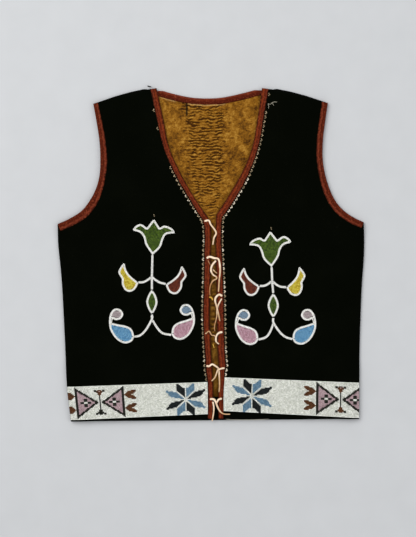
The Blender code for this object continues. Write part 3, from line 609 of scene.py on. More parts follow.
# %% Short ends, a loose strand and a knot, each on one of the ties
SHORT_PIECES = {
    "tie_2_loop": [
        ("strand", [(3.4, -23.8, 0.8), (6.8, -27.4, 0.9), (10.2, -30.1, 0.6)], (0.8, 0.7), (0.3, 0.6)),
        ("branch", [(-4.6, -9.4, 0.2), (-2.0, -14.2, 0.4), (-0.2, -17.4, 0.6)], (0.5, 0.4), (0.9, 0.9))],
    "tie_3_long": [
        ("knot", [(-2.4, -67.6, 0.3), (0.2, -68.0, 1.0), (2.4, -70.2, 1.2), (3.0, -72.6, 0.8)],
         (1.3, 0.9), (2.0, 2.0))],
    "tie_6_right": [
        ("root", [(17.8, -227.8, 0.4), (14.2, -228.2, 1.0), (11.2, -230.6, 1.3), (9.6, -234.6, 1.1)],
         (1.5, 1.2), (0.0, 0.1))],
    "tie_4": [
        ("hook", [(18.6, -122.8, 0.4), (14.0, -123.6, 0.9), (10.6, -126.2, 1.3), (8.6, -130.0, 1.5),
                  (8.0, -135.0, 1.4), (9.0, -139.0, 0.9)], (1.5, 1.3), (0.0, 0.1)),
        ("scrap", [(3.5, -142.0, 0.0), (4.6, -145.0, 0.1), (5.4, -148.0, 0.0)], (0.8, 0.6), (1.6, 1.6)),
        ("end", [(-8.6, -124.4, 0.2), (-7.6, -124.9, 0.4), (-6.8, -125.6, 0.2)], (1.0, 0.9), (0.2, 0.2))],
}

for number, (name, route) in enumerate(TIES.items()):
    for word, points, taper, ages in SHORT_PIECES.get(name, []):
        extra = strand(f"thong_{name}_{word}", points, number, taper, ages)[0]
        dress(extra, HIDE, "thong")
    print(name, round(thong(name, route, number) / MM, 1), "mm")

# %% [markdown]
# ## Cloth on a cutting plan
# Each cut piece is a four-sided field of rows between two edges. It could be a filled outline, but a
# grid has even faces that can rise and wrinkle. So Blender's grid primitive is added, its points are
# laid on the rows of the pattern, and a Solidify modifier gives the cloth its thickness.
# %% Rows of the pattern made finer
CORNER_ROW = 16
ROW_POINTS = 23
BETWEEN_ROWS = 5


def finer(rows, count, columns, crowd=1.0):
    """The same field of points with evenly spaced rows, and columns that may crowd at their start."""
    wide = np.array([along(row, np.linspace(0, 1, columns) ** crowd) for row in rows])
    tall = [along(smooth(wide[:, k], BETWEEN_ROWS), np.linspace(0, 1, count)) for k in range(columns)]
    return np.stack(tall, axis=1)


def finer_panel(rows, low_count, high_count, columns):
    """A finer panel that keeps its corner under the arm."""
    low = finer(rows[:CORNER_ROW + 1], low_count, columns)
    high = finer(rows[CORNER_ROW:], high_count, columns)
    return np.vstack([low[:-1], high])


def front_rows(edges, inner_inset, armhole_inset):
    """The rows of a front from the side seam inward, bent up to the shoulder seam."""
    inner, outer = edges.inner_and_outer(inner_inset, armhole_inset)
    rows = rows_between(outer, inner, ROW_POINTS)
    bulge = SHOULDER_BULGE * np.sin(np.pi * np.linspace(0, 1, ROW_POINTS))
    upper = len(inner) - len(UPPER_SHARES)
    for step, t in enumerate(UPPER_SHARES):
        rows[upper + step, :, 1] += bulge * t**3
    return rows


def cloth(name, points, thickness):
    """A grid primitive laid on a field of points, and thickened upward."""
    points = np.asarray(points, float)
    rows, columns = points.shape[:2]
    bpy.ops.object.select_all(action="DESELECT")
    bpy.ops.mesh.primitive_grid_add(x_subdivisions=columns - 1, y_subdivisions=rows - 1, size=2)
    piece = bpy.context.object
    piece.name = name
    piece.data.name = name
    places = np.empty(rows * columns * 3)
    piece.data.vertices.foreach_get("co", places)
    places = places.reshape(-1, 3)
    across = np.rint((places[:, 0] + 1) / 2 * (columns - 1)).astype(int)
    up = np.rint((places[:, 1] + 1) / 2 * (rows - 1)).astype(int)
    piece.data.vertices.foreach_set("co", (points[up, across] * MM).ravel())
    piece.data.update()
    if sum(face.normal.z for face in piece.data.polygons) < 0:
        piece.data.flip_normals()
    piece.data.shade_smooth()
    wall = piece.modifiers.new("thickness", "SOLIDIFY")
    wall.thickness = thickness * MM
    wall.offset = 1.0
    bpy.ops.object.modifier_apply(modifier=wall.name)
    return piece


def with_height(field, height):
    """Adds a height to each point of a flat field."""
    return np.concatenate([field, np.asarray(height)[..., None]], axis=-1)


def cut_size(field):
    """The width, length and area of a flat field, in metres."""
    width, long = (np.ptp(field[..., k]) * MM for k in (0, 1))
    edge = np.vstack([field[0], field[1:, -1], field[-1, ::-1][1:], field[::-1, 0][1:]])
    after = np.roll(edge, -1, axis=0)
    area = abs(np.sum(edge[:, 0] * after[:, 1] - edge[:, 1] * after[:, 0])) / 2 * MM * MM
    return width, long, area


def declare(piece, field, fullness=1.0):
    """Prints the size that a laid cloth was cut to."""
    width, long, area = cut_size(field)
    size = f"{round(width / MM)} x {round(long * fullness / MM)} mm, {round(area * fullness, 4)} m2"
    print(piece.name, "cut", size)


# %% [markdown]
# ## Black wool
# The vest is fulled wool, nearly black, with a short nap that hides the weave. A black colour alone
# would look like a hole in the picture, so the nap is a fine bump with a few paler fibres in it.
# %% Black wool with a nap
WOOL_DARK = (0.0003, 0.0006, 0.0001, 1.0)
WOOL_LIGHT = (0.0014, 0.0020, 0.0006, 1.0)
WOOL_WORN = (0.0022, 0.0026, 0.0012, 1.0)
LINT = (0.10, 0.09, 0.07, 1.0)
wool = Paint("black_fulled_wool", Roughness=0.95, Specular_IOR_Level=0.015, Sheen_Weight=0.005,
             Sheen_Roughness=0.5)
nap = wool.noise(0.7, 4.0)
tufts = wool.noise(2.6, 3.0)
lint = wool.noise(1.1, 1.0, stretch=(1.0, 0.35, 1.0)).band(0.74, 0.8)
worn = wool.noise(60.0, 2.0).band(0.4, 0.8)
wool_color = wool.mix(nap * 0.6 + tufts * 0.4, WOOL_DARK, WOOL_LIGHT)
wool_color = wool.mix(0.35 * worn, wool_color, WOOL_WORN)
wool_color = wool.mix(0.05 * lint, wool_color, LINT)
WOOL = wool.coat(Base_Color=wool_color, Normal=wool.bump(nap * 0.7 + tufts * 0.6, 0.5))

# %% The two fronts
FRONT_COLUMNS = 41
FRONT_LOW = 64
FRONT_HIGH = 46

for name, edges in FRONTS.items():
    field = finer_panel(front_rows(edges, CLOTH_INSET, CLOTH_INSET), FRONT_LOW, FRONT_HIGH, FRONT_COLUMNS)
    piece = cloth(f"{name}_front_wool", with_height(field, edges.height(field)), FRONT_THICK)
    dress(piece, WOOL, "cloth", f"{name}_front")
    declare(piece, field)

# %% The back, one piece under everything
BACK_COLUMNS = 71
BACK_LOW = 56
BACK_HIGH = 40
SEAM_SHARES = np.linspace(0, 1, 4)


def back_sides():
    """The two ends of each row of the back."""
    return [edges.inner_and_outer(CLOTH_INSET, ARMHOLE_BINDING + GAP)[1] for edges in (RIGHT, LEFT)]


def neck_curve(inset):
    """The back neck's edge moved into the cloth, with its ends on the shoulder seams."""
    curve = left_of(along(smooth(BACK_NECK), np.linspace(0, 1, NECK_POINTS)), -inset)
    if inset:
        curve[0] = shoulder_line(-NECK_POINT_X - inset, 0, [0], -1)[0]
        curve[-1] = shoulder_line(NECK_POINT_X + inset, 0, [0], 1)[0]
    return curve


def bend_to(top, rows, upper):
    """Bends the upper rows so that the last one follows the top curve."""
    chord = rows[-1][0] + (rows[-1][-1] - rows[-1][0]) * np.linspace(0, 1, len(top))[:, None]
    for step, t in enumerate(UPPER_SHARES):
        rows[upper + step] += (top - chord) * t**2
    return rows


right_side, left_side = back_sides()
back_top = np.vstack([
    shoulder_line(right_side[-1, 0], -NECK_POINT_X - NECK_BINDING - GAP, SEAM_SHARES, -1),
    neck_curve(NECK_BINDING + GAP)[1:-1],
    shoulder_line(NECK_POINT_X + NECK_BINDING + GAP, left_side[-1, 0], SEAM_SHARES, 1)])
back_rows = rows_between(right_side, left_side, len(back_top))
back_rows = bend_to(back_top, back_rows, len(right_side) - len(UPPER_SHARES))
back_field = finer_panel(back_rows, BACK_LOW, BACK_HIGH, BACK_COLUMNS)
back = cloth("back_wool", with_height(back_field, lift(back_field[..., 1])), BACK_THICK)
dress(back, WOOL, "cloth", "back")
declare(back, back_field)

# %% The hem turned up inside the back
HEM_ROWS = np.array([-258.6, -236.0, -225.3])
SIDE_INSET = 14.0
HEM_POINTS = 7
HEM_COUNT = 9
HEM_COLUMNS = 81
hem_right = points_at(RIGHT.side_seam, HEM_ROWS) + (SIDE_INSET, 0)
hem_left = points_at(LEFT.side_seam, HEM_ROWS) - (SIDE_INSET, 0)
hem_field = finer(rows_between(hem_right, hem_left, HEM_POINTS), HEM_COUNT, HEM_COLUMNS)
hem = cloth("hem_turn_up", with_height(hem_field, LINING_Z + lift(hem_field[..., 1])), LINING_THICK)
dress(hem, WOOL, "cloth", "back_hem_turn_up")
declare(hem, hem_field)

# %% [markdown]
# ## The lining
# Mustard cotton lines the back. Its middle strip is drawn up into cross gathers, and the two sides
# lie nearly smooth, with soft drags from the neck edge. The gathers could be a bump alone, but seen
# from the side they have to stand up, so they are in the mesh, and the same height is kept on the
# mesh as a number, which paints highlight on the crests and shade in the valleys.
# %% How high the gathers stand
STRIP_RIGHT = np.array([(-24.8, -225.0), (-24.8, 62.0), (-37.4, 237.5)])
STRIP_LEFT = np.array([(18.4, -225.0), (13.4, 62.0), (17.9, 237.5)])
LINING_HEM_Y = -225.0
STRIP_TOP_Y = 236.4
LINING_SHOULDER_INSET = 9.0
GATHER_PITCH = 4.9
GATHER_HEIGHT = 1.5
FLAT_BY_TAPE = (1.5, 9.0)
GATHER_SPREAD = 8.0
CREST_POWER = 0.7
CREST_RISE_AND_HIGHLIGHT = 0.45
LARGE_USUAL = 0.75
LARGE_RANGE = (0.1, 1.1)
SMALL_PITCH = 2.9
SMALL_USUAL = 0.4
SMALL_SHARE = 0.35
USUAL_LEVEL = 0.8
HIGHEST_LEVEL = 1.25
DRAG_REACH = 9.0
DRAG_SHARE = 0.45
DRAGS_PART_X = -5.0
DRAG_LEAN = 0.6
DRAG_LONG = 0.4
SIDES_LOWER = 0.15
LATTICE = 97
LATTICE_MIDDLE = 48.0

# %% Random hills in the gathers: strength, size in mm and seed
SWAY = [(2.6, 9.0, 1), (1.9, 4.2, 2)]
LARGE_PATCHES = (0.9, 5.2, 3)
SMALL_SWAY = (3.0, 5.0, 4)
SMALL_PATCHES = (0.9, 4.0, 5)
LONG_DRAGS = (0.75, 9.0, 6)
FINE_DRAGS = [(0.45, 3.6, 7), (0.45, 1.9, 8)]


def inside_the_neck(points):
    """How far each point lies inside the neck opening."""
    return np.minimum(points[..., 0] - x_at(RIGHT.front, points[..., 1]),
                      x_at(LEFT.front, points[..., 1]) - points[..., 0])


def cloudy(points, size, seed):
    """Smooth random hills from -1 to 1, about this far apart, and the same on every run."""
    lattice = np.random.default_rng(seed).uniform(-1, 1, (LATTICE, LATTICE))
    place = np.asarray(points) / size + LATTICE_MIDDLE
    cell = np.floor(place).astype(int)
    part = place - cell
    part = part * part * (3 - 2 * part)
    cell_x, cell_y = cell[..., 0], cell[..., 1]
    corners = [lattice[(cell_x + i) % LATTICE, (cell_y + j) % LATTICE] for i in (0, 1) for j in (0, 1)]
    low = corners[0] + (corners[1] - corners[0]) * part[..., 1]
    high = corners[2] + (corners[3] - corners[2]) * part[..., 1]
    return low + (high - low) * part[..., 0]


def hills(points, *layers):
    """A sum of random hills, each with its strength, size and seed."""
    return sum(strength * cloudy(points, size, seed) for strength, size, seed in layers)


def gather_level(points):
    """The gathers across the strip and the drags beside it: about 0.8, and less in the valleys."""
    x, y = points[..., 0], points[..., 1]
    right, left = x_at(STRIP_RIGHT, y), x_at(STRIP_LEFT, y)
    beside = np.maximum(np.maximum(right - x, x - left), 0)
    fade = np.exp(-beside / GATHER_SPREAD)
    wave = np.sin(2 * np.pi * y / GATHER_PITCH + hills(points, *SWAY))
    # The crests stand higher, and through the stored level they are painted lighter too.
    valleys = 1 - (0.5 + 0.5 * wave) ** CREST_POWER - CREST_RISE_AND_HIGHLIGHT * np.clip(wave, 0, 1) ** 2
    strength = np.clip(LARGE_USUAL + hills(points, LARGE_PATCHES), *LARGE_RANGE)
    small = 1 - np.sqrt(0.5 + 0.5 * np.sin(2 * np.pi * y / SMALL_PITCH + hills(points, SMALL_SWAY)))
    small_strength = np.clip(SMALL_USUAL + hills(points, SMALL_PATCHES), 0, 1)
    marks = (strength * valleys + SMALL_SHARE * small * small_strength) * fade
    leaning = np.stack([x + np.sign(x - DRAGS_PART_X) * DRAG_LEAN * y, DRAG_LONG * y], axis=-1)
    drags = hills(leaning, LONG_DRAGS) + hills(points, *FINE_DRAGS)
    dragged = (DRAG_SHARE * drags - SIDES_LOWER) * rise(0, DRAG_REACH, beside)
    return np.clip(USUAL_LEVEL - marks + dragged, 0, HIGHEST_LEVEL)


def gather_height(points):
    """How high the lining stands there, which is flat near the tapes."""
    return GATHER_HEIGHT * gather_level(points) * rise(*FLAT_BY_TAPE, inside_the_neck(points))


# %% Mustard cotton, with painted light and shade on its gathers and creases
LIGHT_COTTON = linear(174, 130, 52)
MIDDLE_COTTON = linear(124, 80, 14)
DARK_COTTON = linear(54, 27, 1)
TURNED_COTTON = linear(186, 148, 92)
COTTON_SHADOW = linear(24, 12, 1)
cotton = Paint("mustard_cotton", Roughness=0.7, Specular_IOR_Level=0.06, Sheen_Weight=0.01,
               Sheen_Roughness=0.4)
# Painted shade and light of soft diagonal creases.
crease_shading = cotton.noise(4.6, 3.0, vector=cotton.turned(-52, 2.6))
blotches = cotton.noise(9.0, 4.0)
speck = cotton.noise(1.7, 3.0)
weave = cotton.noise(0.6, 2.0)
threads = cotton.noise(1.5, 1.0, stretch=(0.35, 1.6, 1.0))
# Painted highlight and shade from the stored gathers and the creases; blotches, specks and threads are the
# cotton's own mottling.
bright = cotton.attribute("ridge") * 0.6 + crease_shading * 0.45 + blotches * 0.35
bright = bright + speck * 0.65 + threads * 0.4 - 0.9
cotton_color = cotton.ramp(bright, (0.08, DARK_COTTON), (0.45, MIDDLE_COTTON), (0.85, LIGHT_COTTON))
cotton_color = cotton.mix(cotton.attribute("turned"), cotton_color, TURNED_COTTON)
shadow = cotton.attribute("shadow") * (0.7 + 0.6 * crease_shading)
cotton_color = cotton.mix(shadow, cotton_color, COTTON_SHADOW)
COTTON = cotton.coat(Base_Color=cotton_color, Normal=cotton.bump(0.5 * weave + 0.5 * speck, 0.35))

# %% What the cotton keeps on its mesh
USUAL_GATHER_LIGHT = 0.7
SHOWN = (-2.0, 6.0)
TURNED_EDGE = [(-80.0, -56.0), (-36.0, 22.6)]
TURNED_DEEP = 2.0
TURNED_MOST = 0.9
TURNED_SOFT = 3
SLIT_X = -38.0
SLIT_LOW_Y = 219.0
SLIT_WIDE = 1.1
SLIT_DARK = 1.8
TAPE_SHADOW = 0.4
TAPE_SHADOW_REACH = 1.6
NARROW_GAP_Y = 30.0
NARROW_SHADOW = 0.44
DARKEST = 0.95


def keep_gather_light_and_shade(piece):
    """Stores the gathers as painted highlight and shade, the turned edge under the neck tape, and the painted
    shadow by the tapes and in the narrow gap with the dark slit, for the material.
    """
    count = len(piece.data.vertices)
    places = np.empty(count * 3)
    piece.data.vertices.foreach_get("co", places)
    places = places.reshape(-1, 3)[:, :2] / MM
    x, y = places[:, 0], places[:, 1]
    inside = inside_the_neck(places)
    # Painted highlight on the crests and painted shade in the valleys of the gathers, where they show between
    # the fronts.
    store(piece, "ridge", USUAL_GATHER_LIGHT + (gather_level(places) - USUAL_GATHER_LIGHT) * rise(*SHOWN, inside))
    under_tape = distance_to(places, neck_curve(NECK_BINDING + GAP))
    begun = [rise(low - TURNED_SOFT, low + TURNED_SOFT, x) for low, _ in TURNED_EDGE]
    ended = [rise(high - TURNED_SOFT, high + TURNED_SOFT, x) for _, high in TURNED_EDGE]
    along_edge = np.clip(sum(begin * (1 - end) for begin, end in zip(begun, ended)), 0, 1)
    store(piece, "turned", np.clip(1 - under_tape / TURNED_DEEP, 0, 1) * along_edge * TURNED_MOST)
    slit = np.clip(SLIT_DARK - abs(x - SLIT_X) / SLIT_WIDE, 0, 1) * rise(SLIT_LOW_Y - 3, SLIT_LOW_Y + 2, y)
    by_the_tape = TAPE_SHADOW * np.exp(-np.maximum(inside, 0) / TAPE_SHADOW_REACH)
    narrow = NARROW_SHADOW * (1 - rise(NARROW_GAP_Y, 2 * NARROW_GAP_Y, y))
    store(piece, "shadow", np.clip(np.maximum(slit, by_the_tape + narrow), 0, DARKEST))


# %% The gathered strip
GATHER_FULLNESS = 1.25
STRIP_ROWS = 220
STRIP_COLUMNS = 39
STRIP_LOW = [LINING_HEM_Y, -205.0, *RISE_ROWS, *np.arange(-150.0, 59.0, 3.0)]
STRIP_FROM_Y = 60.0
TOP_BENDS_FROM_Y = 120.0
strip_y = np.concatenate([STRIP_LOW, np.linspace(STRIP_FROM_Y, STRIP_TOP_Y, STRIP_ROWS)])
neck_line = neck_curve(NECK_BINDING + GAP)
strip_field = rows_between(points_at(STRIP_RIGHT, strip_y), points_at(STRIP_LEFT, strip_y), STRIP_COLUMNS)
top_y = np.interp(strip_field[-1, :, 0], neck_line[:, 0], neck_line[:, 1])
strip_field[..., 1] += (top_y - strip_field[-1, :, 1]) * rise(TOP_BENDS_FROM_Y, STRIP_TOP_Y, strip_y)[:, None]
strip_height = LINING_Z + lift(strip_field[..., 1]) + gather_height(strip_field)
strip = cloth("lining_strip_cotton", with_height(strip_field, strip_height), LINING_THICK)
keep_gather_light_and_shade(strip)
dress(strip, COTTON, "lining", "lining_gathered_strip")
declare(strip, strip_field, GATHER_FULLNESS)

# %% The two sides of the lining
ROWS_LEFT_OUT = 4
SEAM_TAPER = (0.6, 0.1)


def lining_rows(edges, strip_edge):
    """The rows of one side of the lining, from the gathered strip outward."""
    outer = edges.inner_and_outer(CLOTH_INSET, ARMHOLE_BINDING + GAP)[1][ROWS_LEFT_OUT:].copy()
    low = len(outer) - len(UPPER_SHARES)
    outer[:low, 0] -= edges.side * SIDE_INSET
    outer[0, 1] = LINING_HEM_Y
    outer[low:, 0] -= edges.side * SIDE_INSET * np.linspace(*SEAM_TAPER, len(UPPER_SHARES))
    high = np.linspace(outer[low - 1, 1], STRIP_TOP_Y, len(UPPER_SHARES) + 1)[1:]
    seam_y = np.concatenate([outer[:low, 1], high])
    inner = points_at(strip_edge, seam_y)
    neck = neck_curve(NECK_BINDING + GAP)[:: edges.side]
    start = np.array((inner[-1, 0], np.interp(inner[-1, 0], *neck[:: edges.side].T)))
    neck_top = neck[edges.side * neck[:, 0] > edges.side * inner[-1, 0] + 1.0][:-1]
    shoulder = shoulder_line(neck[-1, 0], outer[-1, 0], SEAM_SHARES, edges.side)
    shoulder[:, 1] -= LINING_SHOULDER_INSET
    outer[-1] = shoulder[-1]
    inner[-1] = start
    top = np.vstack([start, neck_top, shoulder])
    return bend_to(top, rows_between(inner, outer, len(top)), low)


LINING_CORNER = CORNER_ROW - ROWS_LEFT_OUT
SIDE_LOW = 24
SIDE_HIGH = 130
SIDE_COLUMNS = 81
SIDE_CROWD = 1.6

for name, edges, strip_edge in (("right", RIGHT, STRIP_RIGHT), ("left", LEFT, STRIP_LEFT)):
    rows = lining_rows(edges, strip_edge)
    low = finer(rows[:LINING_CORNER + 1], SIDE_LOW, SIDE_COLUMNS, SIDE_CROWD)
    high = finer(rows[LINING_CORNER:], SIDE_HIGH, SIDE_COLUMNS, SIDE_CROWD)
    field = np.vstack([low[:-1], high])
    height = LINING_Z + lift(field[..., 1]) + gather_height(field)
    piece = cloth(f"{name}_lining_cotton", with_height(field, height), LINING_THICK)
    keep_gather_light_and_shade(piece)
    dress(piece, COTTON, "lining", f"{name}_lining")
    declare(piece, field)

# %% [markdown]
# ## The bindings
# Rust tape is folded round the front edges, the armholes and the back neck. The fold could be a
# Bevel on the cloth, but a tape is its own piece with a crown, puckers at its stitches and its own
# weave, so a rounded section is carried along each edge, and the surface gets its own map: along
# the tape and across it, for weave that follows the edge.
# %% A tape carried along an edge
BINDING_TOP = BEADWORK_Z - LAY + GAP - TAPE_Z
STITCH_PITCH = 5.2
STITCH_PUCKER = 0.12
FINE_PITCH = 3.1
FINE_PUCKER = 0.1
TIGHT = 0.25
TIGHT_PLACES = 30


def folded_section(width):
    """A tape folded round an edge, as run inward and height, from its hidden leg to its upper one."""
    top = BINDING_TOP
    return [(6.0, 0.0), (1.2, 0.0), (0.4, 0.35), (0.0, 1.1), (0.0, top - 0.5), (0.35, top + 0.3),
            (1.1, top + 0.72), (width * 0.35, top + 0.95), (width * 0.65, top + 0.92),
            (width - 0.9, top + 0.55), (width - 0.1, top + 0.25), (width, top - 0.05),
            (width - 0.6, top - 0.1), (1.2, top), (1.0, top - 0.4), (1.0, 1.0), (1.3, 0.7), (6.0, 0.7)]


def flat_section(width):
    """A tape round the back's edge, with a rounded outer side and a crown."""
    top = BACK_BINDING_THICK
    return [(width, 0.0), (1.0, 0.0), (0.3, 0.3), (0.0, 0.9), (0.0, top - 0.9), (0.35, top - 0.25),
            (1.2, top + 0.1), (width * 0.35, top + 0.3), (width * 0.65, top + 0.3), (width - 1.0, top),
            (width - 0.2, top - 0.25), (width, top - 0.6)]


def tape(name, spots, inward, base, section, seed, spread=0.0):
    """A closed strip carried along an edge, puckered at its stitches and wider by the spread."""
    rng = np.random.default_rng(seed)
    run = run_of(spots)
    section = np.array(section)
    width = section[:, 0].max()
    share = np.clip(section[:, 0] / width, 0, 1)
    upper = section[:, 1] > section[:, 1].max() - 1.1
    uneven = rng.uniform(-TIGHT, TIGHT, TIGHT_PLACES)
    tight = np.interp(run, np.linspace(0, run[-1], TIGHT_PLACES), uneven) + spread
    pucker = STITCH_PUCKER * np.cos(2 * np.pi * run / STITCH_PITCH)
    pucker += FINE_PUCKER * np.cos(2 * np.pi * run / FINE_PITCH + tight * 9)
    rings = []
    for spot, turn, low, more, fold in zip(spots, inward, base, tight, pucker):
        reach = section[:, 0] + more * share * upper
        crown = fold * np.sin(np.pi * share) * upper
        rings.append(np.column_stack([spot + turn * reach[:, None], low + section[:, 1] + crown]))
    count, around = len(rings), len(section)
    ends = [tuple(range(around)), tuple(range((count - 1) * around, count * around))[::-1]]
    piece = mesh_piece(name, np.vstack(rings), tube_faces(count, around) + ends)
    store(piece, "across", np.tile(share, count))
    mapped = piece.data.uv_layers.new(name="tape")
    across = np.concatenate([run_of(section), [run_of(np.vstack([section, section[:1]]))[-1]]])
    values = [(across[k + a], run[i + b]) for i in range(count - 1) for k in range(around)
              for a, b in ((0, 0), (1, 0), (1, 1), (0, 1))]
    values += [(across[k], 0.0) for k in range(around)] + [(across[k], run[-1]) for k in range(around)]
    mapped.uv.foreach_set("vector", (np.array(values) * MM).ravel())
    print(name, round(run[-1]), "mm along its edge")
    return outward(piece)


# %% Rust woven tape, with painted shade and painted highlight across its width
RIB_MM = 0.7
THREAD_MM = 0.9
WANDER = 0.55
WANDER_BACK = 0.28
SHADED_RUST = linear(56, 12, 2)
SCUFF_AND_GLINT_RUST = linear(150, 72, 44)
RIB_RUST = linear(126, 66, 42)


def woven_tape(name, *stops):
    """Rust tape with ribs across it and colours from the garment's edge, at 0, to its inner edge, at 1, that
    paint shade in its fold lines and at its edges and highlight on its crown.
    """
    paint = Paint(name, Roughness=0.85, Specular_IOR_Level=0.04)
    tape_map = paint.node("ShaderNodeUVMap", {"uv_map": "tape"}, {}, "UV")
    cross = paint.node("ShaderNodeSeparateXYZ", {}, {0: tape_map}, 0)
    lengthwise = paint.node("ShaderNodeSeparateXYZ", {}, {0: tape_map}, 1)
    ribs = (lengthwise * (2 * np.pi / (RIB_MM * MM))).wave() * 0.5 + 0.5
    threads = (cross * (2 * np.pi / (THREAD_MM * MM))).wave() * 0.5 + 0.5
    wander = paint.noise(5.0, 3.0)
    patches = paint.noise(7.0, 3.0).band(0.4, 0.7)
    # Pale spots: scuffs and painted glints of light.
    scuff_and_glint = paint.noise(2.6, 3.0).band(0.5, 0.72)
    color = paint.ramp(paint.attribute("across") + WANDER * wander - WANDER_BACK, *stops)
    color = paint.mix(0.5 * patches, color, SHADED_RUST)
    color = paint.mix(0.42 * scuff_and_glint, color, SCUFF_AND_GLINT_RUST)
    color = paint.mix(0.14 * ribs, color, RIB_RUST)
    return paint.coat(Base_Color=color, Normal=paint.bump(0.6 * ribs + 0.4 * threads, 0.18))


# Stops across each tape: the dark lines are painted shade at its folds and edges, and the light ones are
# painted highlight on its crown.
FRONT_RUST = woven_tape("rust_front_tape", (0.0, linear(31, 9, 3)), (0.14, linear(64, 18, 7)),
                        (0.36, linear(116, 44, 14)), (0.56, linear(59, 14, 6)), (0.76, linear(101, 35, 16)),
                        (0.92, linear(24, 6, 3)))
ARMHOLE_RUST = woven_tape("rust_armhole_tape", (0.0, linear(74, 22, 8)), (0.28, linear(72, 19, 5)),
                          (0.5, linear(56, 9, 1)), (0.74, linear(110, 46, 28)), (0.86, linear(80, 26, 13)),
                          (0.98, linear(30, 6, 4)))
NECK_RUST = woven_tape("rust_neck_tape", (0.0, linear(116, 54, 38)), (0.22, linear(92, 32, 16)),
                       (0.45, linear(72, 16, 4)), (0.9, linear(58, 11, 3)))

# %% Tapes of the fronts, armholes and back neck
TAPE_SPACING = 2.4
BACK_TAPE_SEED = 4


def spread_at(edges, tape_name, spots):
    """How much wider than usual a tape of a front is at each spot."""
    return np.interp(spots[:, 1], *np.array(edges.table[tape_name]).T)


for number, (name, edges) in enumerate(FRONTS.items()):
    toward = -edges.side
    front_edge = evenly(edges.front, TAPE_SPACING)
    inward = left_of(front_edge, toward) - front_edge
    folded = tape(f"{name}_front_tape", front_edge, inward, TAPE_Z + lift(front_edge[:, 1]),
                  folded_section(FRONT_BINDING), number, spread_at(edges, "front_spread", front_edge))
    dress(folded, FRONT_RUST, "binding", f"{name}_front_binding")
    hole = evenly(edges.armhole, TAPE_SPACING)
    inward = left_of(hole, -toward) - hole
    over = tape(f"{name}_armhole_tape", hole, inward, TAPE_Z + lift(hole[:, 1]),
                folded_section(ARMHOLE_BINDING), number + 2, spread_at(edges, "armhole_spread", hole))
    dress(over, ARMHOLE_RUST, "binding", f"{name}_armhole_binding")
    under = tape(f"{name}_back_armhole_tape", hole, inward, lift(hole[:, 1]),
                 flat_section(ARMHOLE_BINDING), BACK_TAPE_SEED + number)
    dress(under, ARMHOLE_RUST, "binding", f"{name}_back_armhole_binding")

NECK_STATIONS = 80
NECK_STEPS = 6
NECK_TAPE_SEED = 6
TUCKED_STATIONS = 7
TUCK = (-5.0, -5.0)
neck_outer = along(smooth(neck_curve(0), NECK_STEPS), np.linspace(0, 1, NECK_STATIONS))
neck_inner = along(smooth(neck_curve(NECK_BINDING), NECK_STEPS), np.linspace(0, 1, NECK_STATIONS))
neck_inward = (neck_inner - neck_outer) / NECK_BINDING
tucked = (1 - np.arange(TUCKED_STATIONS) / TUCKED_STATIONS)[:, None]
neck_outer[:TUCKED_STATIONS] += tucked * TUCK
neck_outer[-TUCKED_STATIONS:] += tucked[::-1] * TUCK * np.array((-1, 1))
neck_tape = tape("back_neck_tape", neck_outer, neck_inward, np.zeros(NECK_STATIONS),
                 flat_section(NECK_BINDING), NECK_TAPE_SEED)
dress(neck_tape, NECK_RUST, "binding", "back_neck_binding")

# %% [markdown]
# ## One seed bead
# A seed bead is a short glass barrel with a hole. A torus would be true to it but has hundreds of
# faces, and thousands of beads are needed, so a sphere with few sides is added, its two poles are
# pushed in for the hole and its end rings are flattened.
# %% The bead, modelled once
POLE_FROM = 0.49
POLE_SUNK = 0.68
END_RINGS = (0.05, 0.45)
END_RING_GROWTH = (1.2, 1.2, 1.36)
bpy.ops.object.select_all(action="DESELECT")


def model_bead(sides, rings):
    """A unit bead with its hole along Z, as points, faces and face maps."""
    bpy.ops.mesh.primitive_uv_sphere_add(segments=sides, ring_count=rings, radius=0.5)
    bead = bpy.context.object
    for vertex in bead.data.vertices:
        vertex.select = abs(vertex.co.z) > POLE_FROM
    bpy.context.tool_settings.mesh_select_mode = (True, False, False)
    bpy.ops.object.mode_set(mode="EDIT")
    bpy.ops.transform.resize(value=(1, 1, POLE_SUNK), center_override=(0, 0, 0))
    bpy.ops.object.mode_set(mode="OBJECT")
    for vertex in bead.data.vertices:
        vertex.select = END_RINGS[0] < abs(vertex.co.z) < END_RINGS[1] and rings > 3
    bpy.ops.object.mode_set(mode="EDIT")
    bpy.ops.transform.resize(value=END_RING_GROWTH, center_override=(0, 0, 0))
    bpy.ops.object.mode_set(mode="OBJECT")
    points = np.array([vertex.co for vertex in bead.data.vertices])
    faces = [tuple(face.vertices) for face in bead.data.polygons]
    uv = np.array([tuple(corner.vector) for corner in bead.data.uv_layers.active.uv])
    bpy.data.objects.remove(bead)
    return points, faces, uv


BEAD = model_bead(6, 4)
PLAIN_BEAD = model_bead(6, 3)
print("a bead has", sum(len(face) - 2 for face in BEAD[1]), "triangles")

# %% Strings of beads as one mesh
AIM_UNEVEN = 0.035
WIDE_UNEVEN = 0.03
LONG_UNEVEN = 0.05
MAP_MARGIN = 0.08


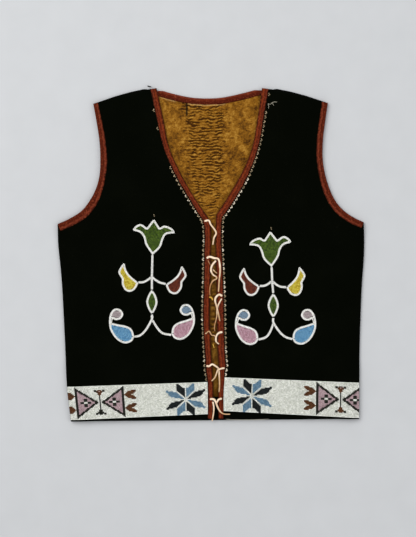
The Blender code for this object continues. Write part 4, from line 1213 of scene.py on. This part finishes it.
def string_beads(name, spots, aims, wide, long, tones, bead, seed):
    """Copies of the bead at the spots, each with its hole along its aim, as one mesh."""
    rng = np.random.default_rng(seed)
    points, faces, uv = bead
    count = len(spots)
    aims = unit(unit(aims) + rng.normal(0, AIM_UNEVEN, aims.shape))
    side = unit(np.cross((0, 0, 1), aims))
    up = np.cross(aims, side)
    roll = rng.uniform(0, 2 * np.pi, count)
    first = side * np.cos(roll)[:, None] + up * np.sin(roll)[:, None]
    second = np.cross(aims, first)
    wide = wide * rng.normal(1, WIDE_UNEVEN, count)
    long = long * rng.normal(1, LONG_UNEVEN, count)
    placed = (spots[:, None] + first[:, None] * points[None, :, 0, None] * wide[:, None, None]
              + second[:, None] * points[None, :, 1, None] * wide[:, None, None]
              + aims[:, None] * points[None, :, 2, None] * long[:, None, None])
    sizes = np.array([len(face) for face in faces])
    corners = np.concatenate([np.array(face) for face in faces])
    mesh = bpy.data.meshes.new(name)
    mesh.vertices.add(count * len(points))
    mesh.vertices.foreach_set("co", (placed * MM).ravel())
    mesh.loops.add(count * len(corners))
    loops = (corners[None] + np.arange(count)[:, None] * len(points)).ravel()
    mesh.loops.foreach_set("vertex_index", loops)
    mesh.polygons.add(count * len(faces))
    starts = np.concatenate([[0], np.cumsum(sizes)[:-1]])
    starts = (starts[None] + np.arange(count)[:, None] * len(corners)).ravel()
    mesh.polygons.foreach_set("loop_start", starts)
    mesh.update(calc_edges=True)
    mesh.validate()
    cells = int(np.ceil(np.sqrt(count)))
    cell = np.stack([np.arange(count) % cells, np.arange(count) // cells], axis=1)
    mapped = (cell[:, None] + MAP_MARGIN + (1 - 2 * MAP_MARGIN) * uv[None]) / cells
    mesh.uv_layers.new(name="OFBake").uv.foreach_set("vector", mapped.ravel())
    piece = linked(name, mesh)
    store(piece, "tone", np.repeat(tones, len(points)))
    return piece


# %% [markdown]
# ## Glass
# Old seed beads are opaque glass in slightly uneven lots. Each bead could have its own material, but
# one number per bead, kept on the mesh, is enough to blend two near colours, and a fine noise makes
# some ends duller.
# %% One glass for each colour


def glass(name, dark, light):
    """Opaque bead glass between two screen colours, chosen bead by bead."""
    dark, light = linear(*dark), linear(*light)
    paint = Paint(name, Specular_IOR_Level=0.35, Coat_Weight=0.06, Coat_Roughness=0.15)
    dull = paint.noise(1.2, 2.0)
    color = paint.mix(paint.attribute("tone"), dark, light)
    color = paint.mix(0.25 * dull, color, dark)
    return paint.coat(Base_Color=color, Roughness=0.28 + 0.3 * dull)


GLASSES = {
    "white": ("white_glass", "white_beads", (240, 238, 230), (254, 253, 249)),
    "cream": ("band_white_glass", "band_beads", (214, 216, 203), (255, 255, 248)),
    "green": ("green_glass", "green_beads", (34, 58, 4), (98, 126, 34)),
    "yellow": ("yellow_glass", "yellow_beads", (188, 156, 4), (238, 228, 96)),
    "maroon": ("maroon_glass", "maroon_beads", (72, 20, 6), (140, 66, 38)),
    "sky": ("sky_blue_glass", "blue_beads", (74, 136, 184), (140, 192, 218)),
    "pink": ("dusty_pink_glass", "pink_beads", (182, 134, 148), (222, 186, 196)),
    "mist": ("mist_blue_glass", "blue_beads", (110, 138, 162), (150, 172, 188)),
    "dusk": ("dusk_pink_glass", "pink_beads", (168, 152, 154), (200, 188, 186)),
    "dark": ("dark_glass", "band_beads", (6, 13, 13), (26, 33, 34)),
    "steel": ("steel_blue_glass", "band_beads", (90, 126, 150), (126, 158, 178)),
    "soot": ("soot_glass", "band_beads", (16, 18, 8), (40, 38, 26)),
    "rose": ("band_rose_glass", "band_beads", (178, 148, 154), (206, 182, 184)),
    "brown": ("brown_glass", "band_beads", (80, 42, 12), (112, 68, 30)),
    "grey": ("grey_glass", "white_beads", (112, 98, 72), (186, 166, 132)),
    "ivory": ("ivory_glass", "white_beads", (196, 180, 152), (246, 236, 216)),
}
GLASS = {color: (glass(name, dark, light), slot) for color, (name, slot, dark, light) in GLASSES.items()}
print("colours of glass:", len(GLASS))

# %% A beaded form, one piece for each of its colours
TONE_SPREAD = (1.1, 1.0)


def place_beads(prefix, spots, aims, colors, wide, long, bead, seed, nodes=()):
    """One piece for each colour of a beaded form."""
    rng = np.random.default_rng(seed)
    colors = np.array(colors)
    for number, color in enumerate(sorted(set(colors.tolist()))):
        chosen = colors == color
        tones = rng.beta(*TONE_SPREAD, int(chosen.sum()))
        piece = string_beads(f"{prefix}_{color}_beads", spots[chosen], aims[chosen], wide, long, tones,
                             bead, seed + number)
        dress(piece, *GLASS[color], *nodes)
    print(prefix, len(spots), "beads")


# %% [markdown]
# ## The bead bands
# The bands are worked in straight rows, like a chart on squared paper. The pattern could be painted,
# but it has to be right bead by bead, so each figure of the chart is a shape in bead units, tested at
# the middle of every bead: eight-pointed stars of lozenges, two triangles point to point over a
# barred stem, and notched arrowheads.
# %% The chart, in beads from the middle of each figure
ROWS_HIGH = 32
STAR_UPRIGHT = [(0.5, 1.6), (0.5, 10.7), (7.5, 16.4), (7.5, 8.5)]
STAR_FLAT = [(0.5, 0.2), (7.4, 7.1), (17.4, 9.6), (12.4, 2.7)]
ARROWHEAD = [(20.5, 0.0), (24.0, 3.6), (30.8, 4.6), (29.6, 1.6), (27.0, 0.0), (29.6, -1.6), (30.8, -4.6),
             (24.0, -3.6)]
HALF_HIGH = 13.8
POINT_AT = 2.0
BASE_AT = 20.0
BORDER = (0.6, 0.9)
INSIDE = (1.5, 1.6)
ARROWHEADS_AT = 6.5

# %% Blocks of the chart: colour, middle both ways and half the size both ways
BARS = [("soot", 12.0, 2.6, 1.1, 1.2), ("soot", 9.0, 0.0, 2.0, 1.1), ("soot", 15.0, 0.0, 2.0, 1.1),
        ("cream", 12.0, 0.0, 1.1, 1.1), ("soot", 0.0, 0.0, 0.6, 8.2)]
HEAD_DOTS = ("soot", 3.5, 11.0, 1.0, 1.0)
HEAD_LIGHT = ("rose", 0.0, 10.5, 0.6, 0.4)
HEAD_AT = 9.8
HEAD_TOP = 12.0
HEAD_HALF = 2.7
HEAD_SLOPE = 0.7


def within(shape, x, y):
    """Which points lie within a shape given by its corners."""
    shape = np.asarray(shape, float)
    found = np.zeros(np.shape(x), bool)
    for (ax, ay), (bx, by) in zip(shape, np.roll(shape, -1, axis=0)):
        crosses = (ay > y) != (by > y)
        safe = np.where(by == ay, 1e-9, by - ay)
        found ^= crosses & (x < (bx - ax) * (y - ay) / safe + ax)
    return found


def chart_star(x, y, colors):
    """An eight-pointed star of lozenges, dark and blue in turn."""
    for shape, dark_side in ((STAR_UPRIGHT, 1), (STAR_FLAT, -1)):
        figure = within(shape, abs(x), abs(y))
        dark = dark_side * np.sign(x) * np.sign(y) < 0
        colors[figure & dark] = "dark"
        colors[figure & ~dark] = "steel"


def chart_blocks(x, y, colors, *blocks):
    """Rectangles of beads."""
    for color, middle_x, middle_y, wide, tall in blocks:
        colors[(abs(x - middle_x) < wide) & (abs(y - middle_y) < tall)] = color


def chart_hourglass(x, y, colors, low_head):
    """Two bordered triangles point to point, with a barred stem between them and arrowheads outside."""
    far, high = abs(x), abs(y)
    edge = (far - POINT_AT) / (BASE_AT - POINT_AT) * HALF_HIGH
    reached = (far > POINT_AT - BORDER[0]) & (far < BASE_AT + BORDER[0])
    colors[reached & (high < edge + BORDER[1])] = "soot"
    colors[(far < BASE_AT - INSIDE[0]) & (high < edge - INSIDE[1])] = "rose"
    chart_blocks(far, high, colors, *BARS)
    head = (far < HEAD_HALF - HEAD_SLOPE * abs(high - HEAD_AT)) & (high < HEAD_TOP)
    colors[head] = "brown"
    colors[head & (y < 0)] = low_head
    chart_blocks(far, y, colors, HEAD_LIGHT)
    chart_blocks(far, high, colors, HEAD_DOTS)
    for middle in (ARROWHEADS_AT, -ARROWHEADS_AT):
        colors[within(ARROWHEAD, far, y - middle)] = "brown"


def chart(column, row, star_column, glass_column, side=1, low_head="brown"):
    """The colour of each bead, from its column and row; side is -1 where columns run to the left."""
    colors = np.full(np.shape(column), "cream", dtype=object)
    y = row - (ROWS_HIGH - 1) / 2
    chart_star(side * (column - star_column), np.ceil(y), colors)
    chart_hourglass(column - glass_column, y, colors, low_head)
    return colors


# %% The bands on the fronts
BAND_PITCH = 1.9
BAND_BEAD = 1.96
BEAD_OF_ROW = 0.97
BAND_SEED = 20
FIGURES = {"right": (18, 90, "soot"), "left": (23, 97, "brown")}  # star, hourglass and its lower head


def band_field(edges, columns, rows):
    """The middle of every bead of a front band, from the binding to the side seam."""
    inner, outer = edges.inner_and_outer(FRONT_BINDING + GAP, CLOTH_INSET)
    inner, outer = smooth(inner[1:5], ROUTE_STEPS), smooth(outer[1:5], ROUTE_STEPS)
    inner, outer = along(inner, middles(rows)), along(outer, middles(rows))
    return inner[:, None] + (outer - inner)[:, None] * middles(columns)[None, :, None]


for name, edges in FRONTS.items():
    star_column, glass_column, low_head = FIGURES[name]
    wide = abs(edges.side_seam[10, 0] - edges.front[10, 0]) - FRONT_BINDING
    columns = round(wide / BAND_PITCH)
    field = band_field(edges, columns, ROWS_HIGH)
    column, row = np.meshgrid(np.arange(columns), np.arange(ROWS_HIGH))
    colors = chart(column, row, star_column, glass_column, edges.side, low_head)
    height = edges.height(field) + FRONT_THICK + LAY + BEAD_THICK / 2
    spots = with_height(field, height).reshape(-1, 3)
    aims = with_height(np.gradient(field, axis=0), np.gradient(height, axis=0)).reshape(-1, 3)
    tall = np.linalg.norm(np.gradient(field, axis=0), axis=-1).mean()
    place_beads(f"{name}_band", spots, aims, colors.ravel(), BAND_BEAD, tall * BEAD_OF_ROW, BEAD, BAND_SEED,
                [f"{name}_bead_band"])

# %% The band under the back
BACK_BAND_LOW = -256.0
BACK_BAND_HIGH = -205.0
BACK_BAND_INSET = 0.5
BACK_BEAD_LONG = 1.56
BACK_SEED = 40
BACK_FIGURES = (0.0, 72.0)
back_y = np.linspace(BACK_BAND_LOW, BACK_BAND_HIGH, ROWS_HIGH + 1)
back_y = (back_y[1:] + back_y[:-1]) / 2
back_right = x_at(RIGHT.side_seam, back_y) + BACK_BAND_INSET
back_left = x_at(LEFT.side_seam, back_y) - BACK_BAND_INSET
back_columns = round(float((back_left - back_right).mean()) / BAND_PITCH)
back_x = back_right[:, None] + (back_left - back_right)[:, None] * middles(back_columns)
field = np.stack([back_x, np.broadcast_to(back_y[:, None], back_x.shape)], axis=-1)
column, row = np.meshgrid(np.arange(back_columns), np.arange(ROWS_HIGH))
middle = (back_columns - 1) / 2
colors = chart(abs(column - middle), row, *BACK_FIGURES)
spots = with_height(field, np.full(field.shape[:2], BEAD_THICK / 2)).reshape(-1, 3)
aims = np.tile((0.0, 1.0, 0.0), (len(spots), 1))
place_beads("back_band", spots, aims, colors.ravel(), BAND_BEAD, BACK_BEAD_LONG, PLAIN_BEAD, BACK_SEED,
            ["back_bead_band"])

# %% [markdown]
# ## The flower sprays
# The sprays are sewn down row by row on the wool: a white double outline first, and then colour.
# Beads could be scattered inside each shape, but then no rows would show, so the outline is walked
# twice, and the inside is filled in straight rows that end at the outline. A bead that would lie in
# another one is left out.
# %% Shapes, as x and y from where the stem joins them and 1 at a corner
TULIP = [(0, 0, 1), (12.5, 12.5, 0), (17.5, 26.2, 0), (22.8, 33.0, 0), (36.5, 34.8, 1), (30.5, 42.5, 0),
         (19.3, 46.8, 0), (11.5, 43.3, 1), (2.2, 57.8, 1), (-9.0, 43.3, 1), (-18.3, 49.3, 0),
         (-27.0, 45.8, 0), (-32.1, 39.0, 1), (-20.1, 35.6, 0), (-14.1, 27.8, 0), (-10.7, 16.0, 0)]
BUD = [(0, 0, 1), (10.9, 8.7, 0), (18.3, 18.2, 0), (22.1, 31.9, 1), (28.8, 22.9, 0), (31.4, 15.0, 0),
       (25.8, 5.2, 1), (25.8, -3.2, 0), (21.3, -12.0, 0), (14.4, -15.2, 0), (6.3, -12.3, 0), (1.2, -4.7, 0)]
PAISLEY = [(0, 0, 1), (1.6, 7.6, 0), (5.7, 13.9, 0), (14.2, 17.7, 0), (23.7, 19.4, 0), (35.2, 22.1, 1),
           (34.0, 28.4, 1), (29.2, 26.4, 0), (21.5, 28.1, 0), (17.2, 35.9, 0), (22.3, 43.6, 0),
           (31.0, 44.4, 0), (37.0, 38.4, 0), (39.5, 29.9, 0), (39.8, 20.5, 0), (37.3, 9.5, 0),
           (29.2, -2.7, 0), (19.8, -9.2, 0), (11.2, -10.3, 0), (3.0, -6.3, 0)]
LEAF = [(0, 0, 1), (5.5, -8.0, 0), (8.9, -19.8, 0), (5.5, -31.5, 0), (0, -39.6, 1), (-5.5, -31.5, 0),
        (-8.9, -19.8, 0), (-5.5, -8.0, 0)]

# %% Where each shape goes: name, shape, x, y, turn, mirror and colours
SPRAYS = {
    "right": [
        ("tulip", TULIP, -92.0, -1.4, 0.0, 1, "green", "green"),
        ("leaf", LEAF, -92.9, -55.5, 0.0, 1, "green", "green"),
        ("outer_bud", BUD, -114.5, -44.2, 0.0, -1, "yellow", "yellow"),
        ("inner_bud", BUD, -70.9, -46.9, -5.0, 1, "maroon", "maroon"),
        ("outer_paisley", PAISLEY, -120.9, -130.4, 0.0, -1, "sky", "dusk"),
        ("inner_paisley", PAISLEY, -61.9, -126.4, 7.0, 1, "pink", "mist")],
    "left": [
        ("tulip", TULIP, 96.2, -20.4, 0.0, -1, "green", "green"),
        ("leaf", LEAF, 98.8, -61.0, 0.0, 1, "green", "green"),
        ("outer_bud", BUD, 119.4, -51.7, 4.0, 1, "yellow", "yellow"),
        ("inner_bud", BUD, 77.4, -49.8, 4.0, -1, "maroon", "maroon"),
        ("outer_paisley", PAISLEY, 129.2, -133.8, 6.0, 1, "sky", "dusk"),
        ("inner_paisley", PAISLEY, 75.2, -134.6, -7.0, -1, "pink", "mist")],
}
STEMS = {
    "right": {
        "upper_stem": [[(-92.1, -2.2), (-92.9, -36.0), (-92.9, -54.7)],
                       [(-92.9, -34.6), (-97.5, -39.0), (-105.5, -43.6), (-113.4, -44.4)],
                       [(-92.9, -34.6), (-88.6, -39.5), (-80.5, -44.4), (-72.0, -46.6)]],
        "lower_stem": [[(-92.9, -95.9), (-92.8, -102.0), (-102.2, -119.0), (-111.5, -128.0),
                        (-119.9, -130.0)],
                       [(-92.9, -95.9), (-92.8, -102.0), (-84.5, -116.0), (-76.0, -124.5), (-63.0, -127.2)]]},
    "left": {
        "upper_stem": [[(96.3, -21.2), (97.2, -43.0), (98.7, -60.2)],
                       [(97.2, -41.6), (102.5, -47.0), (110.0, -51.0), (118.3, -51.9)],
                       [(97.2, -41.6), (92.0, -46.0), (85.5, -49.4), (78.5, -50.0)]],
        "lower_stem": [[(98.9, -101.4), (99.2, -108.0), (108.8, -122.5), (118.0, -130.5), (128.2, -133.8)],
                       [(98.9, -101.4), (99.2, -108.0), (93.5, -123.0), (87.0, -131.0), (76.2, -134.6)]]},
}
CURL_ABOVE = 24.0

# %% Rows of beads for one shape
SEW_WIDE = 1.7
SEW_LONG = 1.5
OUTLINE_INSETS = (0.85, 2.45)
STEM_OFFSETS = (0.85, -0.85)
FILL_INSET = 3.25
FILL_FINE = 0.12
TOO_NEAR = 1.15
SEWN_UP = 0.25
BEAD_OF_STITCH = 0.98
OUTLINE_FINE = 0.3
CHECK_STEPS = (0.4, 0.5)
OUTLINE_SLACK = 0.12
FILL_FROM = 1.0
FILL_EDGE = 0.1
SPRAY_SEED = 60
STEM_SEED = 80
OUTLINE_STEPS = 6


def outline_of(rows, steps):
    """A closed shape of smooth runs between its corners."""
    runs, run = [], [rows[0][:2]]
    for px, py, corner in [*rows[1:], rows[0]]:
        run.append((px, py))
        if corner:
            runs.append(run)
            run = [(px, py)]
    outline = np.vstack([smooth(one, steps)[:-1] for one in runs])
    after = np.roll(outline, -1, axis=0)
    clockwise = np.sum(outline[:, 0] * after[:, 1] - outline[:, 1] * after[:, 0]) < 0
    return outline[::-1] if clockwise else outline


def keep_apart(spots, aims, kept, kept_aims):
    """Adds each spot that isn't too near one already there."""
    for spot, aim in zip(spots, aims):
        if not kept or np.min(np.linalg.norm(np.array(kept) - spot, axis=1)) > TOO_NEAR:
            kept.append(spot)
            kept_aims.append(aim)


def aims_of(curve):
    """The direction of a curve at each of its points."""
    return unit(np.gradient(curve, axis=0))


def outline_rows(outline):
    """The two white rows inside an outline."""
    closed = np.vstack([outline, outline[:1]])
    kept, kept_aims = [], []
    for inset in OUTLINE_INSETS:
        row = left_of(evenly(closed, OUTLINE_FINE), inset)
        row = row[distance_to(row, closed, CHECK_STEPS[0]) > inset - OUTLINE_SLACK]
        row = evenly(np.vstack([row, row[:1]]), SEW_LONG)[:-1]
        keep_apart(row, aims_of(row), kept, kept_aims)
    return np.array(kept), np.array(kept_aims)


def fill_rows(outline):
    """Straight rows of beads within the white outline."""
    closed = np.vstack([outline, outline[:1]])
    low, high = outline.min(axis=0), outline.max(axis=0)
    fine = np.arange(low[0], high[0], FILL_FINE)
    spots = []
    for y in np.arange(low[1] + FILL_FROM, high[1], SEW_WIDE):
        row = np.stack([fine, np.full(len(fine), y)], axis=1)
        clear = within(outline, fine, row[:, 1]) & (distance_to(row, closed, CHECK_STEPS[1]) > FILL_INSET)
        runs = np.flatnonzero(np.diff(np.concatenate([[0], clear.astype(int), [0]])))
        for first, last in zip(runs[::2], runs[1::2]):
            start, end = fine[first] - FILL_EDGE, fine[last - 1] + FILL_EDGE
            count = max(1, round((end - start) / SEW_LONG))
            spots += [(start + (end - start) * share, y) for share in middles(count)]
    return np.array(spots)


def set_in_place(spots, aims, x, y, turn, mirror):
    """Mirrors, turns and moves the beads of a shape to its place on the vest."""
    angle = np.radians(turn)
    spin = np.array([(np.cos(angle), np.sin(angle)), (-np.sin(angle), np.cos(angle))])
    return (spots * (mirror, 1)) @ spin + (x, y), (aims * (mirror, 1)) @ spin


SEWN = (SEW_WIDE, SEW_LONG * BEAD_OF_STITCH, SEWN_UP)


def sew_down(prefix, edges, spots, aims, colors, size, seed, nodes=()):
    """Puts beads on the cloth of a front; size is their width, length and height above the cloth."""
    wide, long, up = size
    spots, aims = np.array(spots), np.array(aims)
    spots = with_height(spots, edges.height(spots) + FRONT_THICK + up + wide / 2)
    place_beads(prefix, spots, with_height(aims, np.zeros(len(aims))), colors, wide, long, BEAD, seed, nodes)


# %% Sewing the sprays
for side, shapes in SPRAYS.items():
    for number, (name, rows, x, y, turn, mirror, body, curl) in enumerate(shapes):
        outline = outline_of(rows, OUTLINE_STEPS)
        white, white_aims = outline_rows(outline)
        fill = fill_rows(outline)
        gaps = np.array([np.min(np.linalg.norm(white - spot, axis=1)) for spot in fill])
        fill = fill[gaps > TOO_NEAR]
        fill_aims = np.tile((1.0, 0.0), (len(fill), 1))
        curled = [spot[1] > CURL_ABOVE and rows is PAISLEY for spot in fill]
        colors = ["white"] * len(white) + [curl if above else body for above in curled]
        spots, aims = np.vstack([white, fill]), np.vstack([white_aims, fill_aims])
        spots, aims = set_in_place(spots, aims, x, y, turn, mirror)
        sew_down(f"{side}_{name}", FRONTS[side], spots, aims, colors, SEWN, SPRAY_SEED + number,
                 [f"{side}_{name}"])
    for stem, lines in STEMS[side].items():
        kept, kept_aims = [], []
        for line in lines:
            for offset in STEM_OFFSETS:
                row = evenly(left_of(smooth(line, ROUTE_STEPS), offset), SEW_LONG)
                keep_apart(row, aims_of(row), kept, kept_aims)
        sew_down(f"{side}_{stem}", FRONTS[side], kept, kept_aims, ["white"] * len(kept), SEWN, STEM_SEED,
                 [f"{side}_{stem}"])

# %% [markdown]
# ## The beaded edge
# Just beyond the front bindings, small groups of three beads stand at even steps on the wool, the
# middle one further in. They could be one long row, but the photograph shows pale and grey dots with
# black between them, and some that have come off round the neck.
# %% Groups of three along the front edges
EDGE_PITCH = 7.3
EDGE_CLEAR = 1.9
EDGE_POINT = 1.1
EDGE_BEAD = 2.05
EDGE_STEP = 1.65
EDGE_FROM = 62.0
EDGE_SIZE = (EDGE_BEAD, EDGE_BEAD * 0.95, 0.2)
EDGE_UNEVEN = 0.12
EDGE_PALE = 0.85
EDGE_SEED = 90
EDGE_BEADS_SEED = 92
EDGE_LOST = {"right": [(139.0, 196.0), (206.0, 214.0), (219.0, 226.0), (233.0, 270.0)],
             "left": [(225.0, 251.0)]}
PALE_SHARE = {"right": [(40.0, 0.1), (70.0, 0.8), (100.0, 0.7), (140.0, 0.1)],
              "left": [(20.0, 0.5), (50.0, 0.2), (80.0, 0.8), (110.0, 0.6), (140.0, 0.0)]}


def edge_groups(edges, lost):
    """The middle of each group of beads on a front, its direction, and the way into the cloth."""
    edge = evenly(edges.front, 1.0)
    inset = FRONT_BINDING + EDGE_CLEAR + spread_at(edges, "front_spread", edge)
    line = left_of(edge, -edges.side * inset[:, None])
    run = run_of(line)
    for middle in np.arange(EDGE_FROM, run[-1] - EDGE_PITCH / 2, EDGE_PITCH):
        spot, after = (np.array([np.interp(place, run, line[:, k]) for k in (0, 1)])
                       for place in (middle, middle + 1))
        if not any(low < spot[1] < high for low, high in lost):
            aim = unit((after - spot)[None])[0]
            yield spot, aim, np.array((-aim[1], aim[0])) * -edges.side


for number, (name, edges) in enumerate(FRONTS.items()):
    rng = np.random.default_rng(EDGE_SEED + number)
    spots, aims, colors = [], [], []
    for spot, aim, into in edge_groups(edges, EDGE_LOST[name]):
        pale = rng.random() < np.interp(spot[1], *np.array(PALE_SHARE[name]).T)
        for step in (-1, 0, 1):
            place = spot + aim * (step * EDGE_STEP) + into * EDGE_POINT * (step == 0)
            spots.append(place + rng.normal(0, EDGE_UNEVEN, 2))
            aims.append(aim)
            colors.append("ivory" if pale and rng.random() < EDGE_PALE else "grey")
    sew_down(f"{name}_edge", edges, spots, aims, colors, EDGE_SIZE, EDGE_BEADS_SEED + number)

# %% Two single beads above the tulips
SINGLE_BEADS = {"right": (-89.7, 62.4), "left": (95.3, 41.9)}
SINGLE_AIMS = [(1.0, 0), (0.8, 0.6)]
SINGLE_SIZE = (EDGE_BEAD, EDGE_BEAD, 0.2)
SINGLE_SEED = 96
SINGLE_STEP = 0.6

for name, place in SINGLE_BEADS.items():
    spots = [place, (place[0] + SINGLE_STEP, place[1] - EDGE_BEAD)]
    sew_down(f"{name}_single", FRONTS[name], spots, SINGLE_AIMS, ["grey", "grey"], SINGLE_SIZE, SINGLE_SEED)

# %% [markdown]
# ## Loose threads
# A few threads have worked loose: a white one by the left shoulder, a pale basting thread along the
# left hem and a tuft of black wool at the right shoulder. They could be left out, but such small signs
# of wear make the cloth look used. Each is a thin tube that lies on the cloth.
# %% Threads on the cloth
THREAD_SEED = 120
TUFT_SEED = 130
TUFT_WIDE = 1.3
TUFT_STRANDS = 3
THREAD_STEPS = 6
THREAD_STEP = 0.8
THREAD_UP = 0.05
thread = Paint("white_thread", Roughness=0.8, Specular_IOR_Level=0.1)
thread_color = thread.mix(thread.noise(2.0, 2.0), linear(120, 116, 100), linear(196, 190, 170))
WHITE_THREAD = thread.coat(Base_Color=thread_color)
THREADS = [
    ("shoulder_thread", "left", [(90.5, 238.0), (94.0, 237.2), (97.0, 239.4), (101.0, 240.8),
                                 (104.6, 240.4)], 0.7),
    ("shoulder_thread_fork", "left", [(97.0, 239.4), (98.6, 237.0), (99.4, 234.8)], 0.5),
    ("shoulder_thread_root", "left", [(90.5, 238.0), (91.8, 234.0), (91.2, 230.4)], 0.6),
    ("hem_thread", "left", [(24.0, -260.4), (34.0, -261.0), (48.0, -261.3), (66.0, -261.2), (80.0, -260.8),
                            (92.0, -260.2)], 0.6),
]


def laid_thread(name, edges, route, wide, seed):
    """A thread that lies on a front along a route."""
    flat = evenly(smooth(route, THREAD_STEPS), THREAD_STEP)
    middle = with_height(flat, edges.height(flat) + FRONT_THICK + wide / 2 + THREAD_UP)
    print(name, round(run_of(flat)[-1], 1), "mm")
    return outward(oval_tube(name, middle, wide, wide, seed))


for number, (name, side, route, wide) in enumerate(THREADS):
    dress(laid_thread(name, FRONTS[side], route, wide, THREAD_SEED + number), WHITE_THREAD, "white_beads")
for number in range(TUFT_STRANDS):
    route = [(-93.5, 264.0), (-96.0 - 1.2 * number, 265.2 + 0.4 * number),
             (-97.5 - 1.4 * number, 263.8 + 0.9 * number)]
    dress(laid_thread(f"wool_tuft_{number}", RIGHT, route, TUFT_WIDE, TUFT_SEED + number), WOOL, "cloth")

# %% [markdown]
# ## Floor and light
# The vest lies on a plain pale floor. A small lamp would give hard edges to thousands of beads, so a
# wide one above and to one side gives a soft shadow, a weaker one answers it, and a pale sky fills
# the rest.
# %% The stage
FLOOR_SIZE = 6.0
FLOOR_Z = -0.0005
SKY = (0.95, 0.97, 1.0, 1.0)
SKY_STRENGTH = 0.68
bpy.ops.object.select_all(action="DESELECT")
bpy.ops.mesh.primitive_plane_add(size=FLOOR_SIZE, location=(0, 0, FLOOR_Z))
floor = bpy.context.object
floor.name = "floor"
paper = Paint("pale_floor", Roughness=0.9, Specular_IOR_Level=0.2)
paper_color = paper.mix(paper.noise(40.0), linear(182, 183, 184), linear(188, 189, 190))
floor.data.materials.append(paper.coat(Base_Color=paper_color))

LAMPS = [((-1.0, 0.9, 2.2), 2.0, 48.0), ((1.4, -0.5, 1.9), 1.6, 12.0)]  # place, size and power
for number, (spot, size, power) in enumerate(LAMPS):
    bpy.ops.object.light_add(type="AREA", location=spot)
    lamp = bpy.context.object
    lamp.name = f"soft_lamp_{number}"
    lamp.data.size = size
    lamp.data.energy = power
    turn = -np.array(spot)
    lamp.rotation_euler = (float(np.arccos(-turn[2] / np.linalg.norm(turn))), 0,
                           float(np.arctan2(turn[1], turn[0]) - np.pi / 2))

world = bpy.data.worlds.new("pale_sky")
bpy.context.scene.world = world
world.use_nodes = True
sky = world.node_tree.nodes["Background"]
sky.inputs["Color"].default_value = SKY
sky.inputs["Strength"].default_value = SKY_STRENGTH
print("lamps:", len(LAMPS))
bpy.context.scene.view_settings.view_transform = "Standard"
